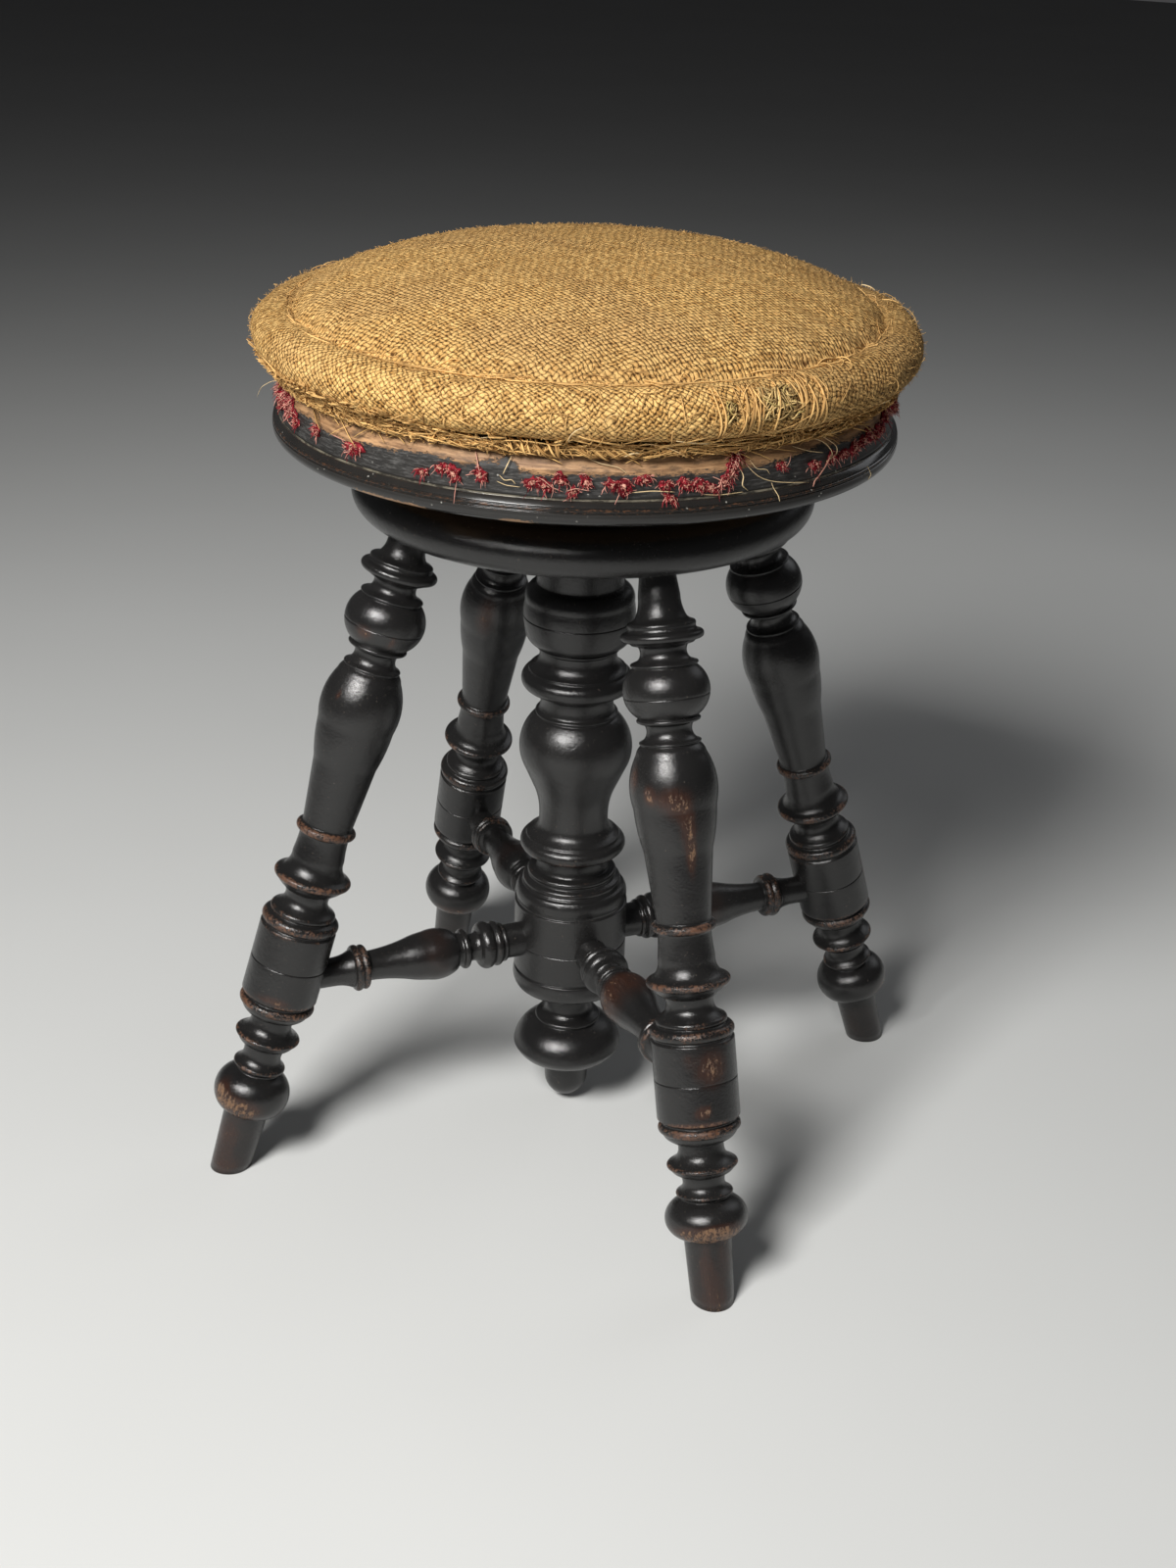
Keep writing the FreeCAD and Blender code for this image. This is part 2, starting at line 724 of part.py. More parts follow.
def make_wood_screws(label, count, circle_radius, face, down):
    """A ring of countersunk wood screws, each a cone head on a plain shank."""
    screws = []
    for index in range(count):
        direction = FreeCAD.Vector(0, 0, -1 if down else 1)
        head = doc.addObject("Part::Cone", f"{label}_head_{index}")
        shank = doc.addObject("Part::Cylinder", f"{label}_shank_{index}")
        for piece, settings in (
            (head, {"Radius1": size.wood_screw_head_radius, "Radius2": size.wood_screw_radius}),
            (shank, {"Radius": size.wood_screw_radius}),
        ):
            for setting, value in settings.items():
                piece.setExpression(setting, value.words)
        head.setExpression("Height", size.wood_screw_head_height.words)
        shank.setExpression("Height", size.wood_screw_length.words)
        screw = doc.addObject("Part::Fuse", f"{label}_screw_{index}")
        screw.Base = head
        screw.Tool = shank
        upright = FreeCAD.Rotation(FreeCAD.Vector(0, 0, 1), direction)
        place = FreeCAD.Placement(FreeCAD.Vector(circle_radius.number, 0, face.number), upright)
        screw.Placement = turn_about_z(FIRST_LEG_ANGLE + FULL_TURN * index / count) * place
        screws.append(screw)
    group = doc.addObject("Part::Compound", label)
    group.Label = label
    group.Links = screws
    return group


def make_screw():
    """The iron screw under the seat: riveted head, plain body over the thread, pinned end."""
    screw = new_body("seat_screw")
    rows = [
        (screw_end, size.screw_end_radius, 0),
        (screw_shoulder, size.screw_end_radius, 0),
        (screw_shoulder, size.screw_radius, 0),
        (hub_bottom, size.screw_radius, 0),
        (hub_bottom, size.screw_head_radius, 0),
        (seat_underside, size.screw_head_radius, 0),
    ]
    turn(screw, "forging", rows)
    bore_across(
        screw,
        "pin_hole",
        size.stop_pin_radius + size.running_gap,
        -size.stop_washer_radius,
        size.stop_washer_radius + size.stop_washer_radius,
        pin_middle,
        outwards=True,
    )
    return screw


def make_stop_washer():
    """A loose washer at the screw's end that meets the nut when the seat is fully up."""
    washer = new_body("stop_washer")
    rows = [
        (washer_bottom, size.stop_washer_radius, 0),
        (washer_top, size.stop_washer_radius, 0),
    ]
    turn(washer, "disc", rows)
    hole = [
        (washer_bottom - size.overrun, size.screw_end_radius + size.running_gap, 0),
        (washer_top + size.overrun, size.screw_end_radius + size.running_gap, 0),
    ]
    turn(washer, "hole", hole, cut=True)
    return washer


def make_stop_pin():
    """The cross pin that keeps the washer on the screw."""
    pin = doc.addObject("Part::Cylinder", "stop_pin")
    pin.Label = "stop_pin"
    pin.setExpression("Radius", size.stop_pin_radius.words)
    length = size.stop_washer_radius + size.screw_end_radius
    pin.setExpression("Height", length.words)
    sideways = FreeCAD.Rotation(FreeCAD.Vector(0, 0, 1), FreeCAD.Vector(1, 0, 0))
    start = FreeCAD.Vector(-length.number * 0.5, 0, pin_middle.number)
    pin.Placement = FreeCAD.Placement(start, sideways)
    return pin


def make_plate():
    """The round iron plate that joins the screw to the seat board."""
    plate = new_body("seat_plate")
    rows = [
        (hub_bottom, size.plate_hub_radius * 0.85, 0),
        (hub_bottom + size.plate_hub_height * 0.2, size.plate_hub_radius, 0),
        (plate_bottom, size.plate_hub_radius, 0),
        (plate_bottom, size.plate_radius, 0),
        (seat_underside, size.plate_radius, 0),
    ]
    turn(plate, "casting", rows)
    bore = [
        (hub_bottom - size.overrun, size.screw_head_radius + size.running_gap, 0),
        (seat_underside + size.overrun, size.screw_head_radius + size.running_gap, 0),
    ]
    turn(plate, "screw_hole", bore, cut=True)
    circle = size.plate_screw_circle_radius
    hole = screw_hole(plate, "wood_screw_hole", circle, plate_bottom, down=False)
    repeat_round(plate, "wood_screw_holes", hole, PLATE_SCREW_COUNT)
    seat = countersink(plate, "countersink", circle, plate_bottom, down=False)
    repeat_round(plate, "countersinks", seat, PLATE_SCREW_COUNT)
    plate.Placement = turn_about_z(FIRST_LEG_ANGLE)
    return plate


def make_board():
    """The round board inside the hoop that carries the plate and the stuffing."""
    board = new_body("seat_board")
    edge = hoop_inner_radius - size.glue_gap
    rows = [
        (seat_underside, edge, 0),
        (board_top, edge, 0),
    ]
    turn(board, "disc", rows)
    circle = size.plate_screw_circle_radius
    hole = screw_hole(board, "wood_screw_hole", circle, plate_bottom, down=False)
    repeat_round(board, "wood_screw_holes", hole, PLATE_SCREW_COUNT)
    board.Placement = turn_about_z(FIRST_LEG_ANGLE)
    return board


def make_hoop():
    """The turned seat rim: rounded moulding below, a plain band, and a bevel for the tacks."""
    hoop = new_body("seat_hoop")
    moulding_top = seat_underside + size.hoop_moulding_height
    rows = [
        (seat_underside, size.hoop_radius - size.hoop_moulding_height * 0.4, 0.2),
        (seat_underside + size.hoop_moulding_height * 0.5, size.hoop_radius, 0),
        (seat_underside + size.hoop_moulding_height * 0.68, size.hoop_radius, 0),
        (moulding_top, hoop_band_radius, 0),
        (seat_underside + size.hoop_height * 0.8, hoop_band_radius, 0),
        (hoop_top, roll_foot_radius, 0),
    ]
    turn(hoop, "turning", rows)
    opening = [
        (seat_underside - size.overrun, hoop_inner_radius, 0),
        (hoop_top + size.overrun, hoop_inner_radius, 0),
    ]
    turn(hoop, "opening", opening, cut=True)
    return hoop


def make_roll():
    """The stitched edge roll: a fat stuffed ring that overhangs the hoop."""
    roll = new_body("edge_roll")
    widest = hoop_top + size.seam_height * 0.6
    rows = [
        (hoop_top, nothing, 0),
        (hoop_top, roll_foot_radius, 0.18),
        (widest, roll_radius, 0.28),
        (hoop_top + size.seam_height, seam_radius, 0),
        (hoop_top + size.seam_height, nothing, 0),
    ]
    turn(roll, "stuffed_edge", rows)
    hollow = [
        (hoop_top, nothing, 0),
        (hoop_top, roll_inner_radius, 0),
        (hoop_top + size.seam_height, seam_radius, 0),
        (hoop_top + size.seam_height, nothing, 0),
    ]
    turn(roll, "inside", hollow, cut=True)
    return roll


def make_crown():
    """The stuffed pad: it fills the hoop above the board and swells to a crown inside the roll."""
    crown = new_body("seat_crown")
    shoulder_share = 0.65
    seam = hoop_top + size.seam_height
    rise = size.crown_height - size.seam_height
    rows = [
        (board_top, nothing, 0),
        (board_top, hoop_inner_radius, 0),
        (hoop_top, hoop_inner_radius, 0),
        (hoop_top, roll_inner_radius, 0),
        (seam, seam_radius, 0.1),
        (seam + rise * 0.77, seam_radius * shoulder_share, 0.018),
        (hoop_top + size.crown_height, nothing, 0),
    ]
    turn(crown, "pad", rows)
    return crown


LEG_NAMES = ["back_right", "back_left", "front_left", "front_right"]


def build_stool():
    pieces = [make_head(), make_column()]
    first_leg = make_leg("leg_" + LEG_NAMES[0])
    first_stretcher = make_stretcher("stretcher_" + LEG_NAMES[0])
    first_leg.Placement = turn_about_z(FIRST_LEG_ANGLE)
    first_stretcher.Placement = turn_about_z(FIRST_LEG_ANGLE)
    pieces += [first_leg, first_stretcher]
    for index, name in enumerate(LEG_NAMES[1:], start=1):
        angle = FIRST_LEG_ANGLE + QUARTER_TURN * index
        pieces.append(repeat_piece("leg_" + name, first_leg, angle))
        pieces.append(repeat_piece("stretcher_" + name, first_stretcher, angle))
    pieces += [
        make_nut(),
        make_wood_screws(
            "nut_screws", NUT_SCREW_COUNT, size.nut_screw_circle_radius, nut_top, down=True
        ),
        make_screw(),
        make_stop_washer(),
        make_stop_pin(),
        make_plate(),
        make_wood_screws(
            "plate_screws", PLATE_SCREW_COUNT, size.plate_screw_circle_radius, plate_bottom, down=False
        ),
        make_board(),
        make_hoop(),
        make_roll(),
        make_crown(),
    ]
    return pieces


def write_steps(pieces):
    """Refuse a failed feature or an empty or invalid shape, then write one file per piece."""
    for item in doc.Objects:
        if "Invalid" in item.State or "Error" in item.State:
            raise RuntimeError(f"{item.Label} failed: {item.State}")
    for piece in pieces:
        if piece.Shape.isNull() or not piece.Shape.isValid():
            raise RuntimeError(f"{piece.Label} has no valid shape")
    os.makedirs("parts", exist_ok=True)
    for piece in pieces:
        piece.Shape.exportStep(f"parts/{piece.Label}.step")
        box = piece.Shape.BoundBox
        print(
            piece.Label,
            len(piece.Shape.Solids),
            round(piece.Shape.Volume),
            [round(value, 1) for value in (box.XMin, box.YMin, box.ZMin, box.XMax, box.YMax, box.ZMax)],
        )


stool = build_stool()
doc.recompute()
write_steps(stool)
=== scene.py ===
import math

import bpy
import numpy as np
from mathutils import Matrix, Vector


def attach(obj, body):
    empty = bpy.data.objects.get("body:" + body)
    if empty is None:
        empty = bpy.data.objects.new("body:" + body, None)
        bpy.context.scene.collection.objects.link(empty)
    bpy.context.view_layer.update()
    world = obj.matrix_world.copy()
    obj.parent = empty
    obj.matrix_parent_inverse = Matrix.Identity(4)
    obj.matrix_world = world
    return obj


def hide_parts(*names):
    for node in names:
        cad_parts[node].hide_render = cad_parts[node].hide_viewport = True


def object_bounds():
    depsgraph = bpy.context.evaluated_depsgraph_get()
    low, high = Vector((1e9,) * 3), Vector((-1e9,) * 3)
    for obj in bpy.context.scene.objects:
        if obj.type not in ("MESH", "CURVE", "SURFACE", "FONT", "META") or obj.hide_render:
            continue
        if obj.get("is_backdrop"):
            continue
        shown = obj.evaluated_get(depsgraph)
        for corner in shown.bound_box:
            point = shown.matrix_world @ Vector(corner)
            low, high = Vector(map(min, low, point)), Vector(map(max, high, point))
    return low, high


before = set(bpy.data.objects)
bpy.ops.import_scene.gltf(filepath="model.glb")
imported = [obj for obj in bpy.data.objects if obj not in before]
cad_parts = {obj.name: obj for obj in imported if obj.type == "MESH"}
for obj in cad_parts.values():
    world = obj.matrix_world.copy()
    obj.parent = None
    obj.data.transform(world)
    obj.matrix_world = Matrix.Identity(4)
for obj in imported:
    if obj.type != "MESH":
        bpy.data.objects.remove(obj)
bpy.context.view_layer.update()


# Camera. It stands where the photograph was taken from, a little above the seat and to the
# right of the front, and looks down at the stool.
scene = bpy.context.scene
CAMERA_PLACE = (0.4313, -1.0774, 0.7616)
CAMERA_FORWARD = (-0.33027, 0.84158, -0.42739)
CAMERA_RIGHT = (0.92516, 0.37838, 0.03012)
SENSOR_MM = 36.0
LENS_MM = 50.97

camera_data = bpy.data.cameras.new("camera")
camera_data.sensor_width = SENSOR_MM
camera_data.lens = LENS_MM
camera = bpy.data.objects.new("camera", camera_data)
scene.collection.objects.link(camera)
camera_up = np.cross(CAMERA_RIGHT, CAMERA_FORWARD)
camera_axes = np.eye(4)
camera_axes[:3, 0] = CAMERA_RIGHT
camera_axes[:3, 1] = camera_up
camera_axes[:3, 2] = -np.array(CAMERA_FORWARD)
camera_axes[:3, 3] = CAMERA_PLACE
camera.matrix_world = Matrix(camera_axes.tolist())
scene.camera = camera
scene.view_settings.view_transform = "Standard"


# Legs. Four hardwood legs lean out from the head disc, stained black and polished. Each was
# turned in one length: tenon, saucer ring, ball, vase, rings, the plain block that takes the
# stretcher, more rings, a ball foot and a plain peg cut level where it stands on the floor.
MM = 0.001
TURN = 2 * math.pi

# How far the legs' axes stand from the middle at the floor and at the head disc's underside
LEG_FOOT_CIRCLE = 211.0
LEG_HEAD_CIRCLE = 98.0
LEG_HEAD_LEVEL = 380.0
LEG_LEAN = math.atan((LEG_FOOT_CIRCLE - LEG_HEAD_CIRCLE) / LEG_HEAD_LEVEL)
LEG_ANGLES = {"back_right": 45, "back_left": 135, "front_left": 225, "front_right": 315}
LEG_SEGMENTS = 72
LEG_SOLE_BLEND = 30.0

# (height above the floor, radius, bow of the stretch up to the next row), in millimetres
LEG_ROWS = [
    (0.0, 11.4, 0), (34.8, 12.7, 0), (35.4, 13.6, 0.37), (58.0, 13.4, 0), (58.6, 12.4, 0),
    (59.6, 12.4, 0), (60.2, 13.4, 0), (60.6, 13.8, 0.45), (63.0, 14.0, 0), (63.4, 13.4, 0),
    (64.0, 12.8, -0.14), (69.4, 11.1, 0), (72.8, 11.4, 0), (73.3, 12.8, 0), (74.0, 14.4, 0.08),
    (77.4, 17.2, 0), (77.7, 17.6, 0.45), (80.0, 17.6, 0), (80.4, 16.8, 0), (81.2, 15.4, -0.13),
    (87.4, 11.9, 0), (91.2, 11.8, 0), (91.8, 14.8, 0), (92.8, 16.4, 0.1), (97.0, 19.8, 0),
    (97.3, 20.2, 0.35), (101.6, 20.0, 0), (102.0, 19.2, 0), (103.2, 19.4, 0), (103.9, 21.0, 0),
    (104.6, 21.7, 0), (145.6, 21.7, 0), (146.3, 20.9, 0), (146.8, 20.4, 0), (147.3, 20.5, 0.3),
    (152.8, 20.1, 0), (153.2, 18.6, 0), (153.8, 17.9, 0.3), (157.2, 17.2, 0), (157.7, 16.2, 0),
    (158.2, 15.6, -0.2), (166.4, 12.9, 0), (168.0, 13.3, 0), (168.5, 14.8, 0), (169.4, 15.6, 0.06),
    (173.4, 19.9, 0), (173.8, 20.3, 0.42), (177.6, 20.2, 0), (178.0, 19.4, 0), (178.8, 17.9, -0.12),
    (188.0, 14.8, -0.02), (200.8, 13.8, 0), (201.4, 14.0, 0), (201.9, 14.5, 0.5), (206.4, 14.7, 0),
    (206.9, 14.1, 0), (208.4, 14.2, 0), (243.0, 17.7, 0.03), (265.0, 21.2, 0.1), (292.0, 17.9, 0.1),
    (296.6, 15.0, 0), (297.0, 15.0, 0.5), (298.5, 15.1, 0), (298.9, 14.0, 0), (299.4, 13.3, -0.18),
    (307.0, 12.5, 0), (307.6, 14.8, 0), (308.0, 15.4, 0.4), (310.0, 15.6, 0), (310.3, 15.0, 0),
    (310.7, 15.6, 0.25), (335.6, 16.2, 0), (336.0, 16.5, 0.5), (337.6, 16.4, 0), (338.1, 15.0, 0),
    (338.8, 13.4, -0.2), (346.0, 12.9, 0), (346.6, 15.8, 0), (347.8, 16.8, 0), (348.3, 18.8, 0.45),
    (353.0, 19.0, 0), (353.4, 17.6, 0), (354.8, 17.0, 0.3), (357.2, 16.2, 0), (357.6, 14.8, 0),
    (358.6, 13.2, -0.08), (368.0, 10.6, 0), (376.0, 9.3, 0), (386.0, 9.2, 0),
]
# (height, depth) of the fine lines scribed with the point of the chisel
LEG_SCRIBES = [(125.2, 0.4), (321.0, 0.35)]
SCRIBE_HALF_WIDTH = 0.3
# How sharply an edge turns, per millimetre, where wear sets in, and how much more makes it full
WEAR_FROM = 0.08
WEAR_RANGE = 0.5
# How wide the wear of an edge spreads, in millimetres
WEAR_SPREAD = 0.9


def arc_stretch(start, end, bow, spacing):
    """Points from start up to but not with end, on an arc that stands off its chord by bow chords.

    A point at the share t of the arc's angle lies along the chord by the sine, and off it by the
    cosine, of its own angle from the middle. A bow of nothing is a straight line.
    """
    (place, radius), (next_place, next_radius) = start, end
    chord = math.hypot(next_place - place, next_radius - radius)
    share = np.linspace(0, 1, max(2, int(chord / spacing)), endpoint=False)
    along = share
    off = np.zeros_like(share)
    if bow:
        half_angle = 2 * math.atan(2 * bow)
        angle = (2 * share - 1) * half_angle
        along = 0.5 + np.sin(angle) / (2 * math.sin(half_angle))
        off = (np.cos(angle) - math.cos(half_angle)) / (2 * math.sin(half_angle))
    run, rise = next_place - place, next_radius - radius
    return np.stack([place + run * along - rise * off, radius + rise * along + run * off], 1)


def running_mean(values, width):
    """Values along an outline, each replaced by the mean round it with Gaussian weights.

    The ends are carried on through their end values by a half turn, so that they keep their place.
    """
    reach = int(3 * width) + 1
    weights = np.exp(-0.5 * (np.arange(-reach, reach + 1) / width) ** 2)
    weights /= weights.sum()
    before = 2 * values[0] - values[reach:0:-1]
    after = 2 * values[-1] - values[-2:-reach - 2:-1]
    return np.convolve(np.concatenate([before, values, after]), weights, mode="valid")


def turned_outline(rows, scribes=(), softness=0.24, turn_step=0.22, longest=5.0):
    """The outline of a turning as the lathe and the sandpaper leave it, in millimetres.

    Gives places along the axis, radii, and wear: how far each point is a worn convex edge. The
    rows' arcs are joined, their corners rounded by a running mean, a scribed line taken off as a
    Gaussian dip, and the points then spaced both by their length and by how much they turn.
    """
    spacing = 0.1
    stretches = [
        arc_stretch(start[:2], end[:2], start[2], spacing) for start, end in zip(rows, rows[1:])
    ]
    path = np.concatenate(stretches + [np.array([rows[-1][:2]], float)])
    step = np.hypot(*np.diff(path, axis=0).T)
    length = np.concatenate([[0], np.cumsum(step)])
    even = np.linspace(0, length[-1], int(length[-1] / spacing))
    place = running_mean(np.interp(even, length, path[:, 0]), softness / spacing)
    radius = running_mean(np.interp(even, length, path[:, 1]), softness / spacing)
    heading = np.unwrap(np.arctan2(np.gradient(radius), np.gradient(place)))
    convex = -np.gradient(heading) / spacing
    edge = running_mean(np.clip((convex - WEAR_FROM) / WEAR_RANGE, 0, 1), 0.5 / spacing)
    wear = np.clip(running_mean(edge, WEAR_SPREAD / spacing) * 2.0, 0, 1)
    outside = radius > 0.45 * radius.max()
    for middle, depth in scribes:
        radius = radius - outside * depth * np.exp(-(((place - middle) / SCRIBE_HALF_WIDTH) ** 2))
    heading = np.unwrap(np.arctan2(np.gradient(radius), np.gradient(place)))
    cost = np.cumsum(spacing / longest + np.abs(np.gradient(heading)) / turn_step)
    wanted = np.linspace(cost[0], cost[-1], int(cost[-1]) + 2)
    return [np.interp(wanted, cost, values) for values in (place, radius, wear)]


def grid_mesh(name, points, closed_along=False, pole_start=False, pole_end=False):
    """A mesh over a grid of points: rows along, closed round each row, faces outwards.

    Rows run up the outline and each row runs counter-clockwise seen from its upper end, so
    neighbouring corners taken row by row give faces that point away from the axis. A pole joins
    the first or last row to one point at its mean.
    """
    rows, segments = points.shape[:2]
    count = rows * segments
    column = np.arange(segments)
    beside = (column + 1) % segments
    lower = np.arange(rows if closed_along else rows - 1)[:, None] * segments
    upper = (lower + segments) % count if closed_along else lower + segments
    faces = np.stack([lower + column, lower + beside, upper + beside, upper + column], -1)
    faces = faces.reshape(-1, 4).tolist()
    vertices = points.reshape(-1, 3)
    if pole_start:
        vertices = np.vstack([vertices, points[0].mean(0)])
        fan = np.stack([beside, column, np.full(segments, len(vertices) - 1)], -1)
        faces += fan.tolist()
    if pole_end:
        vertices = np.vstack([vertices, points[-1].mean(0)])
        last = count - segments
        fan = np.stack([last + column, last + beside, np.full(segments, len(vertices) - 1)], -1)
        faces += fan.tolist()
    mesh = bpy.data.meshes.new(name)
    mesh.from_pydata(vertices.tolist(), [], faces)
    mesh.shade_smooth()
    return mesh


def store(mesh, name, values):
    """Keeps one number or one vector for each point of the mesh, for its material to read."""
    values = np.asarray(values, np.float32)
    if values.ndim == 2:
        spare = len(mesh.vertices) - len(values)
        values = np.vstack([values, np.repeat(values[-1:], spare, 0)])
        mesh.attributes.new(name, "FLOAT_VECTOR", "POINT").data.foreach_set("vector", values.ravel())
    else:
        values = np.concatenate([values, np.full(len(mesh.vertices) - len(values), values[-1])])
        mesh.attributes.new(name, "FLOAT", "POINT").data.foreach_set("value", values)


def add_piece(name, mesh, material, body, slot, *nodes):
    """Puts a finished mesh in the scene, on its body, in place of the nodes that it stands for."""
    piece = bpy.data.objects.new(name, mesh)
    scene.collection.objects.link(piece)
    mesh.materials.append(material)
    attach(piece, body)
    if nodes:
        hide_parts(*nodes)
    return piece


def full_turn(count):
    """Equal steps of angle once round, beginning at nothing and leaving out the full turn."""
    return np.linspace(0, TURN, count, endpoint=False)


def turned_points(place, radius, segments, origin, axis, side, waver=0.0, phase=0.0):
    """Points of a turning about any axis, in millimetres, and the same points in its own frame.

    A point stands off the axis by its radius, at an equal step of angle round it. The radius
    wavers by a few hundredths with three and five swings to the turn, as old wood does.
    """
    angle = full_turn(segments)
    axis = np.asarray(axis, float)
    side = np.asarray(side, float)
    other = np.cross(axis, side)
    swing = np.sin(3 * angle + phase + place[:, None] / 37) + 0.6 * np.sin(5 * angle - phase)
    grown = radius[:, None] * (1 + waver * swing)
    across, up = grown * np.cos(angle), grown * np.sin(angle)
    points = (
        np.asarray(origin, float)
        + place[:, None, None] * axis
        + across[..., None] * side
        + up[..., None] * other
    )
    own = np.stack([across, up, np.broadcast_to(place[:, None], across.shape)], -1)
    return points, own


class Shade:
    """A material under construction: short ways to add and join its nodes."""

    def __init__(self, name):
        """Begins with a new material and the one shader that it comes with."""
        self.material = bpy.data.materials.new(name)
        self.material.use_nodes = True
        self.nodes = self.material.node_tree.nodes
        self.links = self.material.node_tree.links
        self.surface = self.nodes["Principled BSDF"]

    def join(self, value, socket):
        """Feeds a socket from another node, or sets it to a plain value."""
        if hasattr(value, "is_output"):
            self.links.new(value, socket)
        else:
            socket.default_value = value

    def attribute(self, name, vector=False):
        """What was stored on the piece's points under a name."""
        node = self.nodes.new("ShaderNodeAttribute")
        node.attribute_name = name
        return node.outputs["Vector" if vector else "Fac"]

    def place(self):
        """Where each point lies, in metres, on the piece's own axes."""
        return self.nodes.new("ShaderNodeTexCoord").outputs["Object"]

    def stretched(self, vector, scale):
        """The vector with each coordinate scaled: a small scale draws a pattern out that way."""
        node = self.nodes.new("ShaderNodeMapping")
        node.inputs["Scale"].default_value = scale
        self.join(vector, node.inputs["Vector"])
        return node.outputs[0]

    def noise(self, vector, scale, detail=3.0, roughness=0.5):
        """Random clouds from 0 to 1, so many to the metre, with finer ones laid over them."""
        node = self.nodes.new("ShaderNodeTexNoise")
        node.inputs["Scale"].default_value = scale
        node.inputs["Detail"].default_value = detail
        node.inputs["Roughness"].default_value = roughness
        self.join(vector, node.inputs["Vector"])
        return node.outputs["Fac"]

    def maths(self, kind, *values):
        """One step of arithmetic on numbers or sockets. The five ways below name common kinds."""
        node = self.nodes.new("ShaderNodeMath")
        node.operation = kind
        for value, socket in zip(values, node.inputs):
            self.join(value, socket)
        return node.outputs[0]

    def plus(self, first, second):
        return self.maths("ADD", first, second)

    def minus(self, first, second):
        return self.maths("SUBTRACT", first, second)

    def times(self, first, second):
        return self.maths("MULTIPLY", first, second)

    def times_plus(self, first, second, added):
        return self.maths("MULTIPLY_ADD", first, second, added)

    def most(self, first, second):
        return self.maths("MAXIMUM", first, second)

    def split(self, vector):
        """The three coordinates of a vector, each as a socket of its own."""
        node = self.nodes.new("ShaderNodeSeparateXYZ")
        self.join(vector, node.inputs[0])
        return node.outputs

    def step(self, value, low, high, at_low=0.0, at_high=1.0):
        """A smooth step of the value, from one number at its low end to another at its high end."""
        node = self.nodes.new("ShaderNodeMapRange")
        node.interpolation_type = "SMOOTHSTEP"
        self.join(value, node.inputs["Value"])
        node.inputs["From Min"].default_value = low
        node.inputs["From Max"].default_value = high
        node.inputs["To Min"].default_value = at_low
        node.inputs["To Max"].default_value = at_high
        return node.outputs[0]

    def blend(self, share, first, second):
        """The first colour where the share is 0 and the second where it is 1."""
        node = self.nodes.new("ShaderNodeMix")
        node.data_type = "RGBA"
        self.join(share, node.inputs["Factor"])
        self.join(first, node.inputs[6])
        self.join(second, node.inputs[7])
        return node.outputs[2]

    def luck(self, place):
        """One random number from 0 to 1 for each whole half turn of the place."""
        node = self.nodes.new("ShaderNodeTexWhiteNoise")
        node.noise_dimensions = "1D"
        self.join(self.maths("FLOOR", self.times(place, 1 / math.pi)), node.inputs["W"])
        return node.outputs["Value"]

    def bump(self, height, distance, strength, under=None):
        """The surface's direction as tilted by a height, on top of any tilt under it."""
        node = self.nodes.new("ShaderNodeBump")
        node.inputs["Distance"].default_value = distance
        node.inputs["Strength"].default_value = strength
        self.join(height, node.inputs["Height"])
        if under is not None:
            self.join(under, node.inputs["Normal"])
        return node.outputs[0]

    def finish(self, colour, roughness, normal=None, **settings):
        """Joins colour, roughness and relief to the shader and sets what is the same all over."""
        self.join(colour, self.surface.inputs["Base Color"])
        self.join(roughness, self.surface.inputs["Roughness"])
        if normal is not None:
            self.join(normal, self.surface.inputs["Normal"])
        for name, value in settings.items():
            self.surface.inputs[name.replace("_", " ")].default_value = value
        return self.material


